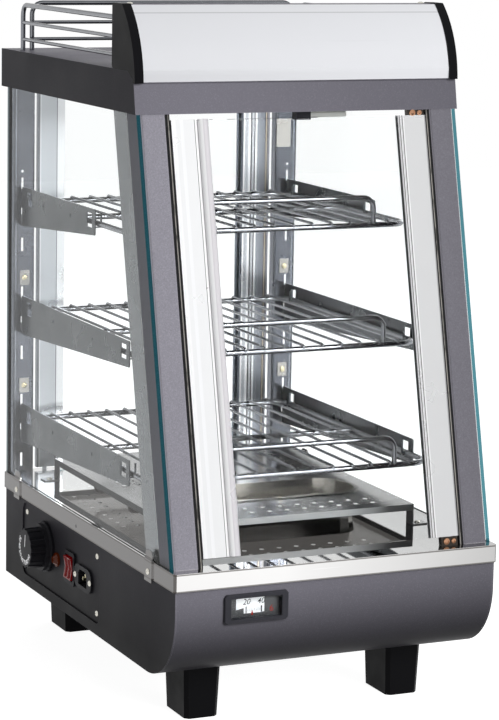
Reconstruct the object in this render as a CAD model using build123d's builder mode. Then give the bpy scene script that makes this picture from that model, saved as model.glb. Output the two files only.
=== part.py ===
from build123d import *
from math import cos, hypot, radians, sin
import os

# Heated display case, in millimetres, standing on the floor plane with +Z up.
# The glass front looks along -Y, and +X is at the right hand of someone facing it.

# Overall sizes
case_width = 350.0
case_depth = 492.0
foot_height = 55.0
base_height = 96.0
skirt_height = 18.0
glazing_height = 427.0
housing_height = 41.0
sign_height = 64.0

# Sheet thicknesses
base_sheet = 1.5
tray_sheet = 1.2
post_sheet = 1.2
housing_sheet = 1.2
clip_sheet = 1.5
bracket_sheet = 1.2
platform_sheet = 1.2
sign_sheet = 1.0

# Clearances
running_gap = 0.3
pin_clearance = 0.1
hole_clearance = 0.3

# Base shell and feet
base_inset = 2.2
base_radius = 70.0
bend_radius = 2.5
foot_width = 35.2
foot_depth = 52.0
foot_flare = 2.0
foot_corner = 4.0
foot_x = 111.7
front_foot_y = -144.9
rear_foot_y = 191.0
foot_bore = 14.0
foot_bore_depth = 40.0

# Control plate in the left side of the base
plate_length = 235.0
plate_height = 80.0
plate_corner = 10.0
plate_lap = 8.0
plate_y = 71.0
plate_z = 107.0
plate_screw_inset_y = 11.7
plate_screw_inset_z = 10.0

# Thermostat and its knob
knob_y = 118.0
knob_z = 112.0
bezel_diameter = 55.0
bezel_height = 4.5
skirt_diameter = 52.0
skirt_thickness = 3.6
grip_diameter = 44.0
knob_height = 19.6
knob_shaft = 6.0
knob_shaft_length = 22.0
flute_count = 16
flute_depth = 1.3
flute_land = 0.55
flute_edge = 0.65
flute_floor = 0.9
knob_taper = 3.0
skirt_taper = 10.0
bezel_edge = 1.5
thermostat_box = 40.0
thermostat_depth = 30.0
thermostat_neck = 11.0

# Indicator lamp
lamp_y = 82.0
lamp_z = 106.0
lamp_diameter = 15.0
lamp_rim = 2.2
lamp_dome = 3.6
lamp_barrel = 12.0
lamp_barrel_length = 22.0
lamp_taper = 35.0

# Rocker switch
switch_y = 41.5
switch_z = 107.0
switch_width = 30.0
switch_height = 35.0
switch_flange = 2.5
switch_bore_width = 21.0
switch_bore_height = 27.0
switch_depth = 24.0
switch_cavity = 11.0
rocker_half_height = 11.6
rocker_face = 3.0
rocker_tip = 5.0
rocker_pin = 3.0

# Power inlet
inlet_y = 1.5
inlet_z = 105.0
inlet_length = 49.0
inlet_height = 25.0
inlet_flange = 2.5
inlet_bore_length = 24.0
inlet_bore_height = 16.5
inlet_bore_depth = 16.0
inlet_wall = 2.0
inlet_chamfer = 4.0
inlet_corner = 10.0
inlet_screw_pitch = 42.0

# Dial thermometer in the front of the base
thermometer_x = -88.6
thermometer_z = 129.5
thermometer_width = 67.4
thermometer_height = 29.0
thermometer_proud = 3.0
thermometer_window_width = 54.0
thermometer_window_height = 20.6
thermometer_body_depth = 16.0
thermometer_cavity = 7.0
thermometer_wall = 3.5
lens_sheet = 1.2
lens_inset = 0.6
pointer_x = -92.0
pointer_z = 123.0
pointer_length = 12.0
pointer_width = 1.4
pointer_sheet = 0.8
pointer_hub = 4.0
pointer_pin = 1.6

# Front slope, as the set-back of the glass over its height
front_post_y = -233.1
front_setback = 98.7

# Posts
post_width = 25.8
post_glass_inset = 5.2
front_flange = 32.0
front_lip = 8.0
liner_start = 20.0
liner_end = 70.0
liner_sheet = 1.0
rear_post_y = 230.0
rear_flange = 13.0

# Side glass
glass_sheet = 4.0
glass_setback = 1.2
glass_rear_y = 241.0
glass_tuck = 4.0

# Glass clips and screws
clip_width = 18.0
clip_foot = 21.4
clip_head = 9.5
clip_corner = 4.0
clip_front_y = -183.0
clip_rear_y = 199.0
clip_screw_drop = 11.5
screw_head = 6.4
screw_head_height = 1.6
screw_shank = 3.0
screw_taper = 20.0

# Shelf brackets
bracket_inset = 11.4
bracket_rear_height = 43.0
bracket_front_height = 26.5
bracket_top_z = 247.5
bracket_pitch = 120.0
bottom_bracket_front_y = -92.0
middle_bracket_front_y = -89.0
top_bracket_front_y = 9.0
bracket_window = 15.0
bracket_window_drop = 4.6
rear_window_offset = 17.0
front_window_offset = 8.0
tab_depth = 9.4
slot_width = 2.6
slot_height = 15.0
slot_pitch = 33.0
slot_count = 3
slot_rise = 10.0
slot_hole = 3.0
slot_hole_rise = 17.0
hook_reach = 4.0

# Wire shelves
rod_diameter = 6.0
wire_diameter = 3.0
guard_diameter = 5.4
shelf_side_gap = 4.9
shelf_rear_y = 213.0
rod_drop = 15.0
shelf_corner = 20.0
shelf_rear_corner = 13.0
wire_count = 13
wire_pitch = 21.5
weld_overlap = 0.8
bottom_shelf_front_y = -137.0
middle_shelf_front_y = -106.0
top_shelf_front_y = -77.0
guard_half_width = 113.0
guard_rise = 29.0
guard_radius = 12.0

# Platform over the heater, and its water pan
platform_half_width = 134.0
platform_front_y = -143.0
platform_rear_y = 190.0
platform_height = 22.4
platform_flange = 6.6
leg_width = 14.0
leg_tab = 16.0
vent_diameter = 5.0
vent_rows = 2
vent_columns = 11
vent_row_pitch = 17.8
vent_column_pitch = 19.4
vent_front_inset = 20.5
side_vent_count = 9
side_vent_pitch = 18.5
side_vent_inset = 37.0
side_vent_y = 36.0
pan_half_width = 112.0
pan_front_y = -72.0
pan_length = 71.0
pan_corner = 26.0
pan_depth = 16.0
pan_rim = 4.0
pan_sheet = 0.8
pan_draft = 3.0

# Heating element
element_diameter = 6.5
element_rise = 9.0
element_half_width = 100.0
element_front_y = 50.0
element_rear_y = 150.0
element_bend = 14.0
element_tail = 24.0

# Doors
door_gap = 5.5
door_thickness = 6.0
door_glass_sheet = 4.0
front_door_bottom_gap = 9.2
front_door_top_gap = 5.6
rear_door_bottom_gap = 3.0
rear_door_top_gap = 5.0
rear_door_inset = 1.0
handle_width = 38.5
bead_diameter = 11.0
handle_groove = 1.4
handle_groove_depth = 0.5
hinge_width = 31.0
hinge_edge = 3.2
glass_seat = 12.0
hinge_inset = 10.5
hinge_pin = 5.0
pivot_width = 18.0
pin_stop = 2.0
gasket_gap = 0.8
gasket_depth = 7.0
fit_gap = 0.2

# Flats that stand in for the roundness of rods, holes, dials and corners
rod_sides = 8
wire_sides = 4
hole_sides = 6
lamp_sides = 12
dial_sides = 20
corner_flats = 3
bend_cut = 0.586

# Top housing
skin_gap = 0.3
housing_rear_y = 257.0
fascia_overhang = 0.9
fascia_height = 30.0
fascia_rake = 5.7
fascia_return = 16.0
housing_corner_rise = 3.4
housing_flat_y = -114.8

# Sign box
cap_thickness = 9.4
cap_overhang = 0.6
sign_rear_y = -73.0
sign_top_length = 25.0
sign_front_overhang = 4.1
sign_front_radius = 104.0
cap_corner = 4.0
sign_inset = 1.0
acrylic_sheet = 2.5
lamp_tube = 14.0
lamp_tube_length = 280.0
lamp_holder_length = 16.0
lamp_holder_side = 20.0
inner_lamp_x = 22.0
inner_lamp_y = -108.0
inner_lamp_length = 40.0
inner_lamp_tube = 8.0
inner_holder_side = 10.0

# Guard rails on the roof
rail_x = 165.0
rail_front_y = -62.0
rail_rear_y = 217.0
rail_rod = 5.4
rail_wire = 4.0
rail_height = 49.0
rail_middle = 30.0
rail_low = 12.0
rail_bend = 12.0
rear_rail_half_width = 155.0
rear_rail_lift = 2.0

# Small plates on the rear posts
lock_plate_width = 11.0
lock_plate_height = 16.0
lock_plate_sheet = 1.5
lock_plate_rise = 20.0
lock_plate_inset = 2.4
cover_plate_width = 17.0
cover_plate_height = 32.0
cover_plate_z = 540.0

# Levels and edges that follow from the sizes above
half_width = case_width / 2
half_depth = case_depth / 2
skirt_z = foot_height + base_height
floor_z = skirt_z + skirt_height
panel_top = floor_z - tray_sheet
housing_z = floor_z + glazing_height
housing_top = housing_z + housing_height
fascia_top = housing_z + fascia_height
sign_top = housing_top + sign_height
base_half_width = half_width - base_inset
base_half_depth = half_depth - base_inset
control_x = base_half_width - base_sheet
thermometer_face = base_half_depth + thermometer_proud
glass_inner = half_width - post_glass_inset
glass_outer = glass_inner + glass_sheet
skin_inner = glass_outer + skin_gap
skin_outer = skin_inner + housing_sheet
post_inner = glass_inner - post_width
door_half_width = post_inner - door_gap
hinge_x = door_half_width - hinge_inset
platform_z = floor_z + platform_height
pan_rear_y = pan_front_y + pan_length
bracket_x = glass_inner - bracket_inset
bracket_inner = bracket_x - bracket_sheet / 2
shelf_half_width = bracket_x - shelf_side_gap
slope = front_setback / glazing_height
slope_length = hypot(front_setback, glazing_height)
fascia_y = front_post_y + front_setback - fascia_overhang
fascia_top_y = fascia_y + fascia_rake
knob_reach = control_x + bezel_height + running_gap + knob_height
clip_reach = half_width + clip_sheet + screw_head_height

# The origin lies under the middle of the whole case, knob and rear overhang included
case_x = (knob_reach - clip_reach) / 2
case_y = (thermometer_face - housing_rear_y) / 2

# Reference planes through the middle of the floor tray
ground = Plane(origin=(case_x, case_y, 0))
front_view = Plane(origin=(case_x, case_y, 0), x_dir=(1, 0, 0), z_dir=(0, -1, 0))
side_view = Plane(origin=(case_x, case_y, 0), x_dir=(0, 1, 0), z_dir=(1, 0, 0))
control_face = Plane(origin=(case_x - control_x, case_y, 0), x_dir=(0, -1, 0), z_dir=(-1, 0, 0))
up_slope = Vector(0, front_setback, glazing_height).normalized()
front_door_plane = Plane(
    origin=(case_x, case_y + front_post_y, floor_z),
    x_dir=(1, 0, 0),
    z_dir=(0, -up_slope.Z, up_slope.Y),
)
rear_door_plane = Plane(
    origin=(case_x, case_y + rear_post_y + rear_flange - rear_door_inset, floor_z),
    x_dir=(-1, 0, 0),
    z_dir=(0, 1, 0),
)

os.makedirs("parts", exist_ok=True)


def write_piece(piece, name):
    """Label a finished piece and write it as its own file."""
    piece.part.label = name
    export_step(piece.part, f"parts/{name}.step")


def mirrored(piece):
    """The same piece on the other side of the case."""
    with BuildPart() as other:
        mirror(piece.part, about=side_view)
    return other


def bent_sheet(points, radius, thickness, side=Side.LEFT):
    """Closed section of a sheet bent along a path, with the metal on one side of it."""
    with BuildLine() as section:
        FilletPolyline(*points, radius=radius)
        offset(amount=thickness, side=side)
    return section.edges()


def flat_sided(diameter, sides=rod_sides):
    """Section of a rod, stud or dial inside its diameter, with flats that face the axes."""
    return RegularPolygon(diameter / 2, sides, rotation=180 / sides)


def drilled(diameter, mode=Mode.ADD):
    """Small hole that clears its diameter, drawn with flats to keep it light."""
    return RegularPolygon(diameter / 2, hole_sides, major_radius=False, mode=mode)


def flat_cornered(width, length, radius, flats=1, mode=Mode.ADD):
    """Rectangle whose rounded corners are drawn with a few flats each."""
    points = []
    for turn in range(4):
        side_x = 1 if turn in (0, 3) else -1
        side_y = 1 if turn < 2 else -1
        for flat in range(flats + 1):
            angle = radians(90 * (turn + flat / flats))
            points.append((
                side_x * (width / 2 - radius) + radius * cos(angle),
                side_y * (length / 2 - radius) + radius * sin(angle),
            ))
    return Polygon(*points, align=None, mode=mode)


def eased(points, radii):
    """Path points with each corner cut by one flat that touches the bend of its radius."""
    path = [points[0]]
    for before, corner, after, radius in zip(points, points[1:], points[2:], radii):
        for end in (before, after):
            path.append(Vector(corner) + (Vector(end) - Vector(corner)).normalized() * radius * bend_cut)
    return [*path, points[-1]]


def bent_rod(points, radii, diameter, sides=rod_sides):
    """Rod bent along a path of points in space, with one bend radius for each corner."""
    with BuildPart() as rod:
        with BuildLine() as run:
            Polyline(*eased(points, radii))
        with BuildSketch(Plane(origin=run.line @ 0, z_dir=run.line % 0)):
            flat_sided(diameter, sides)
        sweep(path=run.line, transition=Transition.RIGHT)
    return rod


def at(x, y, z):
    """Point measured from the middle of the floor tray and the floor."""
    return (case_x + x, case_y + y, z)


def front_y(z):
    """Front surface of the sloping posts at a height."""
    return front_post_y + (z - floor_z) * slope


# Base


def make_base():
    """Folded shell of the base, its two sides, the feet and the floor tray."""
    with BuildPart() as wrap:
        with BuildSketch(side_view):
            make_face(bent_sheet(
                [
                    (-base_half_depth, panel_top),
                    (-base_half_depth, foot_height),
                    (base_half_depth, foot_height),
                    (base_half_depth, panel_top),
                ],
                [base_radius, bend_radius],
                base_sheet,
            ))
        extrude(amount=base_half_width - base_sheet, both=True)
        with BuildSketch(front_view.offset(base_half_depth)):
            with Locations((thermometer_x, thermometer_z)):
                Rectangle(
                    thermometer_width - 2 * thermometer_wall + fit_gap,
                    thermometer_height - thermometer_wall + fit_gap,
                )
        extrude(amount=-2 * base_sheet, mode=Mode.SUBTRACT)
    write_piece(wrap, "base_wrap")

    with BuildPart() as right_panel:
        with BuildSketch(side_view.offset(base_half_width - base_sheet)):
            with BuildLine():
                Line((-base_half_depth, foot_height + base_radius), (-base_half_depth, panel_top))
                Line((-base_half_depth, panel_top), (base_half_depth, panel_top))
                Line((base_half_depth, panel_top), (base_half_depth, foot_height))
                Line((base_half_depth, foot_height), (base_radius - base_half_depth, foot_height))
                TangentArc(
                    (base_radius - base_half_depth, foot_height),
                    (-base_half_depth, foot_height + base_radius),
                    tangent=(-1, 0),
                )
            make_face()
        extrude(amount=base_sheet)
    write_piece(right_panel, "right_side_panel")

    with BuildPart() as left_panel:
        mirror(right_panel.part, about=side_view)
        with BuildSketch(control_face):
            with Locations((-plate_y, plate_z)):
                flat_cornered(plate_length, plate_height, plate_corner, corner_flats)
        extrude(amount=2 * base_sheet, mode=Mode.SUBTRACT)
    write_piece(left_panel, "left_side_panel")

    for side_name, foot_side in (("left", -1), ("right", 1)):
        for end_name, foot_y in (("front", front_foot_y), ("rear", rear_foot_y)):
            make_foot(f"foot_{end_name}_{side_name}", foot_side * foot_x, foot_y)


def make_foot(name, x, y):
    """Tapered foot with a deep screw recess in its sole."""
    with BuildPart() as foot:
        with BuildSketch(ground):
            with Locations((x, y)):
                flat_cornered(foot_width, foot_depth, foot_corner)
        with BuildSketch(ground.offset(foot_height)):
            with Locations((x, y)):
                flat_cornered(foot_width + 2 * foot_flare, foot_depth + 2 * foot_flare, foot_corner)
        loft(ruled=True)
        with BuildSketch(ground):
            with Locations((x, y)):
                drilled(foot_bore)
        extrude(amount=foot_bore_depth, mode=Mode.SUBTRACT)
    write_piece(foot, name)


def platform_tab_points():
    """Screw places in the four outward foot tabs of the platform."""
    x = platform_half_width + leg_tab / 2
    rear = platform_rear_y - leg_width / 2
    front = platform_front_y + leg_width / 2
    return [(-x, front), (x, front), (-x, rear), (x, rear)]


def make_tray():
    """Polished floor tray with a down-turned skirt."""
    with BuildPart() as tray:
        with BuildSketch(ground.offset(skirt_z)):
            flat_cornered(case_width, case_depth, bend_radius)
        extrude(amount=skirt_height)
        with BuildSketch(ground.offset(skirt_z)):
            Rectangle(case_width - 2 * tray_sheet, case_depth - 2 * tray_sheet)
        extrude(amount=skirt_height - tray_sheet, mode=Mode.SUBTRACT)
        with BuildSketch(ground.offset(floor_z)):
            with Locations(*platform_tab_points()):
                drilled(screw_shank + hole_clearance)
            with Locations(
                (-element_half_width, element_front_y), (-element_half_width, element_rear_y)
            ):
                drilled(element_diameter + hole_clearance)
            with Locations((-hinge_x, rear_pin_y())):
                Circle((hinge_pin + 2 * pin_clearance) / 2)
        extrude(amount=-2 * tray_sheet, mode=Mode.SUBTRACT)
        with BuildSketch(side_view.offset(-half_width)):
            with Locations((clip_front_y, clip_screw_z()), (clip_rear_y, clip_screw_z())):
                drilled(screw_shank + hole_clearance)
        extrude(amount=case_width, mode=Mode.SUBTRACT)
    write_piece(tray, "floor_tray")


def rear_pin_y():
    """Depth of the rear door's pivot axis."""
    return rear_post_y + rear_flange - rear_door_inset - door_thickness / 2


def clip_screw_z():
    """Height of the clip screws in the tray's skirt."""
    return floor_z - clip_screw_drop


# Controls


def make_control_plate():
    """Plate behind the window in the left side, holed for its controls."""
    with BuildPart() as plate:
        with BuildSketch(control_face):
            with Locations((-plate_y, plate_z)):
                Rectangle(plate_length + 2 * plate_lap, plate_height + 2 * plate_lap)
            with Locations((-knob_y, knob_z)):
                drilled(thermostat_neck + fit_gap, mode=Mode.SUBTRACT)
            with Locations((-lamp_y, lamp_z)):
                drilled(lamp_barrel + fit_gap, mode=Mode.SUBTRACT)
            with Locations((-switch_y, switch_z)):
                Rectangle(
                    switch_bore_width + 2 * inlet_wall + fit_gap,
                    switch_bore_height + 2 * inlet_wall + fit_gap,
                    mode=Mode.SUBTRACT,
                )
            with Locations((-inlet_y, inlet_z)):
                Rectangle(
                    inlet_bore_length + 2 * inlet_wall + fit_gap,
                    inlet_bore_height + 2 * inlet_wall + fit_gap,
                    mode=Mode.SUBTRACT,
                )
            with Locations(*plate_screw_points()):
                drilled(screw_shank + hole_clearance, mode=Mode.SUBTRACT)
            with Locations(*inlet_screw_points()):
                drilled(screw_shank + hole_clearance, mode=Mode.SUBTRACT)
        extrude(amount=-base_sheet)
    write_piece(plate, "control_plate")


def plate_screw_points():
    """Screw places near the corners of the control plate's window."""
    along = plate_length / 2 - plate_screw_inset_y
    rise = plate_height / 2 - plate_screw_inset_z
    return [(-plate_y + u * along, plate_z + v * rise) for u in (-1, 1) for v in (-1, 1)]


def inlet_screw_points():
    """Screw places in the inlet's flange."""
    return [(-inlet_y + u * inlet_screw_pitch / 2, inlet_z) for u in (-1, 1)]


def fluted_outline():
    """Outline of the knob's grip, with a shallow groove between each pair of lands."""
    step = 360 / flute_count
    groove = grip_diameter / 2 - flute_depth
    land = grip_diameter / 2
    corners = [(land, 0.0), (land, flute_land), (groove, flute_edge), (groove, flute_floor)]
    turns = [(radius, (flute + part) * step) for flute in range(flute_count) for radius, part in corners]
    return [(radius * cos(radians(angle)), radius * sin(radians(angle))) for radius, angle in turns]


def make_thermostat():
    """Thermostat with its front ring, and the fluted knob on its shaft."""
    knob_plane = Plane(
        origin=control_face.from_local_coords((-knob_y, knob_z, 0)),
        x_dir=control_face.x_dir,
        z_dir=control_face.z_dir,
    )
    with BuildPart() as thermostat:
        with BuildSketch(knob_plane):
            flat_sided(bezel_diameter, dial_sides)
        extrude(amount=bezel_height)
        chamfer(thermostat.faces().sort_by(Axis.X)[0].edges(), length=bezel_edge)
        with BuildSketch(knob_plane):
            Circle(thermostat_neck / 2)
        extrude(amount=-base_sheet)
        with BuildSketch(knob_plane.offset(-base_sheet)):
            Rectangle(thermostat_box, thermostat_box)
        extrude(amount=-thermostat_depth)
        with BuildSketch(knob_plane.offset(bezel_height)):
            Circle(knob_shaft / 2 + pin_clearance)
        extrude(amount=-(knob_shaft_length + running_gap), mode=Mode.SUBTRACT)
    write_piece(thermostat, "thermostat")

    skirt_level = bezel_height + running_gap
    skirt_top = skirt_level + skirt_thickness
    knob_top = skirt_level + knob_height
    with BuildPart() as knob:
        with BuildSketch(knob_plane.offset(skirt_level)):
            flat_sided(skirt_diameter, dial_sides)
        extrude(amount=skirt_thickness, taper=skirt_taper)
        with BuildSketch(knob_plane.offset(skirt_top)):
            with BuildLine():
                Polyline(
                    *fluted_outline(),
                    close=True,
                )
            make_face()
        extrude(amount=knob_top - skirt_top, taper=knob_taper)
        with BuildSketch(knob_plane.offset(skirt_level)):
            Circle(knob_shaft / 2)
        extrude(amount=-(knob_shaft_length - running_gap))
    write_piece(knob, "thermostat_knob")


def make_indicator_lamp():
    """Round lamp with a domed lens and its barrel behind the plate."""
    lamp_plane = Plane(
        origin=control_face.from_local_coords((-lamp_y, lamp_z, 0)),
        x_dir=control_face.x_dir,
        z_dir=control_face.z_dir,
    )
    with BuildPart() as lamp:
        with BuildSketch(lamp_plane):
            flat_sided(lamp_barrel, lamp_sides)
        extrude(amount=-lamp_barrel_length)
        with BuildSketch(lamp_plane):
            flat_sided(lamp_diameter, lamp_sides)
        extrude(amount=lamp_rim)
        with BuildSketch(lamp_plane.offset(lamp_rim)):
            flat_sided(lamp_barrel, lamp_sides)
        extrude(amount=lamp_dome, taper=lamp_taper)
    write_piece(lamp, "indicator_lamp")


def make_switch():
    """Switch frame and body, and the rocker that tips on its cross pin."""
    switch_plane = Plane(
        origin=control_face.from_local_coords((-switch_y, switch_z, 0)),
        x_dir=control_face.x_dir,
        z_dir=control_face.z_dir,
    )
    with BuildPart() as body:
        with BuildSketch(switch_plane):
            flat_cornered(switch_width, switch_height, bend_radius)
        extrude(amount=switch_flange)
        with BuildSketch(switch_plane):
            Rectangle(switch_bore_width + 2 * inlet_wall, switch_bore_height + 2 * inlet_wall)
        extrude(amount=-switch_depth)
        with BuildSketch(switch_plane.offset(switch_flange)):
            Rectangle(switch_bore_width, switch_bore_height)
        extrude(amount=-(switch_flange + switch_cavity), mode=Mode.SUBTRACT)
        with BuildSketch(Plane(switch_plane.origin, x_dir=(1, 0, 0), z_dir=(0, -1, 0))):
            Circle(rocker_pin / 2 + pin_clearance)
        extrude(amount=switch_bore_width / 2 + inlet_wall, both=True, mode=Mode.SUBTRACT)
    write_piece(body, "switch_body")

    rocker_plane = Plane(switch_plane.origin, x_dir=(0, 0, 1), z_dir=(0, -1, 0))
    with BuildPart() as rocker:
        with BuildSketch(rocker_plane):
            with BuildLine():
                Polyline(
                    (-rocker_half_height, 0),
                    (-rocker_half_height, rocker_tip),
                    (0, rocker_face),
                    (rocker_half_height, rocker_tip),
                    (rocker_half_height, 0),
                )
                ThreePointArc(
                    (rocker_half_height, 0), (0, -rocker_half_height / 2), (-rocker_half_height, 0)
                )
            make_face()
        extrude(amount=switch_bore_width / 2 - running_gap, both=True)
        with BuildSketch(rocker_plane):
            Circle(rocker_pin / 2)
        extrude(amount=switch_bore_width / 2 + inlet_wall / 2, both=True)
    write_piece(rocker, "power_rocker")


def make_inlet():
    """Mains inlet with its flange and open socket."""
    inlet_plane = Plane(
        origin=control_face.from_local_coords((-inlet_y, inlet_z, 0)),
        x_dir=control_face.x_dir,
        z_dir=control_face.z_dir,
    )
    with BuildPart() as inlet:
        with BuildSketch(inlet_plane):
            flat_cornered(inlet_length, inlet_height, inlet_corner, corner_flats)
        extrude(amount=inlet_flange)
        with BuildSketch(inlet_plane):
            Rectangle(inlet_bore_length + 2 * inlet_wall, inlet_bore_height + 2 * inlet_wall)
        extrude(amount=-(inlet_bore_depth + inlet_wall))
        with BuildSketch(inlet_plane.offset(inlet_flange)) as socket:
            Rectangle(inlet_bore_length, inlet_bore_height)
            chamfer(socket.vertices().group_by(Axis.Y)[-1], length=inlet_chamfer)
        extrude(amount=-(inlet_flange + inlet_bore_depth), mode=Mode.SUBTRACT)
        with BuildSketch(inlet_plane.offset(inlet_flange)):
            with Locations((-inlet_screw_pitch / 2, 0), (inlet_screw_pitch / 2, 0)):
                drilled(screw_shank + hole_clearance)
        extrude(amount=-inlet_flange, mode=Mode.SUBTRACT)
    write_piece(inlet, "power_inlet")


def make_thermometer():
    """Thermometer housing, its window and the swinging pointer."""
    face = front_view.offset(base_half_depth)
    outer = front_view.offset(thermometer_face)
    cavity_floor = thermometer_face - thermometer_cavity
    with BuildPart() as housing:
        with BuildSketch(face):
            with Locations((thermometer_x, thermometer_z)):
                flat_cornered(thermometer_width, thermometer_height, bend_radius)
        extrude(amount=thermometer_proud)
        chamfer(housing.faces().sort_by(Axis.Y)[0].edges(), length=thermometer_proud / 4)
        with BuildSketch(face):
            with Locations((thermometer_x, thermometer_z)):
                Rectangle(
                    thermometer_width - 2 * thermometer_wall, thermometer_height - thermometer_wall
                )
        extrude(amount=-thermometer_body_depth)
        with BuildSketch(outer):
            with Locations((thermometer_x, thermometer_z)):
                Rectangle(thermometer_window_width, thermometer_window_height)
        extrude(amount=-thermometer_cavity, mode=Mode.SUBTRACT)
        with BuildSketch(front_view.offset(cavity_floor)):
            with Locations((pointer_x, pointer_z)):
                Circle(pointer_pin / 2 + pin_clearance)
        extrude(amount=-(thermometer_wall + running_gap), mode=Mode.SUBTRACT)
    write_piece(housing, "thermometer_housing")

    with BuildPart() as lens:
        with BuildSketch(front_view.offset(thermometer_face - lens_inset)):
            with Locations((thermometer_x, thermometer_z)):
                Rectangle(thermometer_window_width, thermometer_window_height)
        extrude(amount=-lens_sheet)
    write_piece(lens, "thermometer_lens")

    with BuildPart() as pointer:
        with BuildSketch(front_view.offset(cavity_floor + running_gap)):
            with Locations((pointer_x, pointer_z)):
                Circle(pointer_hub / 2)
            with BuildLine():
                Polyline(
                    (pointer_x - pointer_width / 2, pointer_z),
                    (pointer_x + pointer_width / 2, pointer_z),
                    (pointer_x + pointer_width / 4, pointer_z + pointer_length),
                    (pointer_x - pointer_width / 4, pointer_z + pointer_length),
                    close=True,
                )
            make_face()
        extrude(amount=pointer_sheet)
        with BuildSketch(front_view.offset(cavity_floor + running_gap)):
            with Locations((pointer_x, pointer_z)):
                Circle(pointer_pin / 2)
        extrude(amount=-(thermometer_wall + running_gap))
    write_piece(pointer, "thermometer_pointer")


# Glazed body


def make_front_posts():
    """Sloping front posts, and the liner strips fixed inside their flanges."""
    with BuildPart() as right_post:
        with BuildSketch(ground.offset(floor_z)):
            make_face(bent_sheet(
                [
                    (post_inner, front_post_y + front_lip),
                    (post_inner, front_post_y),
                    (glass_inner, front_post_y),
                    (glass_inner, front_post_y + front_flange),
                ],
                bend_radius,
                post_sheet,
            ))
        extrude(amount=slope_length, dir=up_slope)
    write_piece(right_post, "front_post_right")
    write_piece(mirrored(right_post), "front_post_left")

    liner_x = glass_inner - post_sheet - liner_sheet / 2
    liner_y = front_post_y + (liner_start + liner_end) / 2
    with BuildPart() as liners:
        with BuildSketch(ground.offset(floor_z)):
            with Locations((-liner_x, liner_y), (liner_x, liner_y)):
                Rectangle(liner_sheet, liner_end - liner_start)
        extrude(amount=slope_length, dir=up_slope)
    write_piece(liners, "post_liners")


def bracket_levels():
    """Name, top height and front end of the brackets on each level."""
    return [
        ("bottom", bracket_top_z, bottom_bracket_front_y),
        ("middle", bracket_top_z + bracket_pitch, middle_bracket_front_y),
        ("top", bracket_top_z + 2 * bracket_pitch, top_bracket_front_y),
    ]


def make_rear_posts():
    """Channel posts with slots for the bracket hooks."""
    with BuildPart() as right_post:
        with BuildSketch(ground.offset(floor_z)):
            make_face(bent_sheet(
                [
                    (post_inner, rear_post_y + rear_flange),
                    (post_inner, rear_post_y),
                    (glass_inner, rear_post_y),
                    (glass_inner, rear_post_y + rear_flange),
                ],
                bend_radius,
                post_sheet,
            ))
        extrude(amount=glazing_height)
        with BuildSketch(front_view.offset(-rear_post_y)):
            for _, top, _ in bracket_levels():
                for slot in range(slot_count):
                    with Locations((bracket_x, top + slot_rise - slot_height / 2 - slot * slot_pitch)):
                        Rectangle(slot_width, slot_height)
                with Locations((bracket_x, top + slot_hole_rise)):
                    drilled(slot_hole)
        extrude(amount=-2 * post_sheet, mode=Mode.SUBTRACT)
    write_piece(right_post, "rear_post_right")
    write_piece(mirrored(right_post), "rear_post_left")

    with BuildPart() as plates:
        with BuildSketch(front_view.offset(-rear_post_y)):
            for _, top, _ in bracket_levels()[:2]:
                plate_z_middle = top + lock_plate_rise
                for plate_side in (-1, 1):
                    with Locations((plate_side * (bracket_x - lock_plate_inset), plate_z_middle)):
                        Rectangle(lock_plate_width, lock_plate_height)
            with Locations((post_inner + cover_plate_width / 2, cover_plate_z)):
                Rectangle(cover_plate_width, cover_plate_height)
        extrude(amount=lock_plate_sheet)
    write_piece(plates, "post_plates")


def make_side_glass():
    """Flat panes that stand on the tray and run up behind the housing."""
    glass_top = housing_z + glass_tuck
    with BuildPart() as right_glass:
        with BuildSketch(side_view.offset(glass_inner)):
            with BuildLine():
                Polyline(
                    (front_y(floor_z) + glass_setback, floor_z),
                    (glass_rear_y, floor_z),
                    (glass_rear_y, glass_top),
                    (front_y(glass_top) + glass_setback, glass_top),
                    close=True,
                )
            make_face()
        extrude(amount=glass_sheet)
    write_piece(right_glass, "side_glass_right")
    write_piece(mirrored(right_glass), "side_glass_left")


def make_clips():
    """Joggled clips that hold the foot of each pane."""
    step = half_width - glass_outer
    with BuildPart() as clips:
        for clip_y in (clip_front_y, clip_rear_y):
            with BuildSketch(front_view.offset(-(clip_y - clip_width / 2))):
                make_face(bent_sheet(
                    [
                        (half_width, floor_z - clip_foot),
                        (half_width, floor_z + running_gap),
                        (half_width - step, floor_z + running_gap + 2 * step),
                        (half_width - step, floor_z + clip_head),
                    ],
                    0,
                    clip_sheet,
                    side=Side.RIGHT,
                ))
            extrude(amount=-clip_width)
        chamfer(clips.edges().filter_by(Axis.X).group_by(Axis.Z)[-1], length=clip_corner)
        with BuildSketch(side_view.offset(half_width)):
            with Locations((clip_front_y, clip_screw_z()), (clip_rear_y, clip_screw_z())):
                drilled(screw_shank + hole_clearance)
        extrude(amount=2 * clip_sheet, mode=Mode.SUBTRACT)
        mirror(about=side_view)
    write_piece(clips, "glass_clips")


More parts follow.
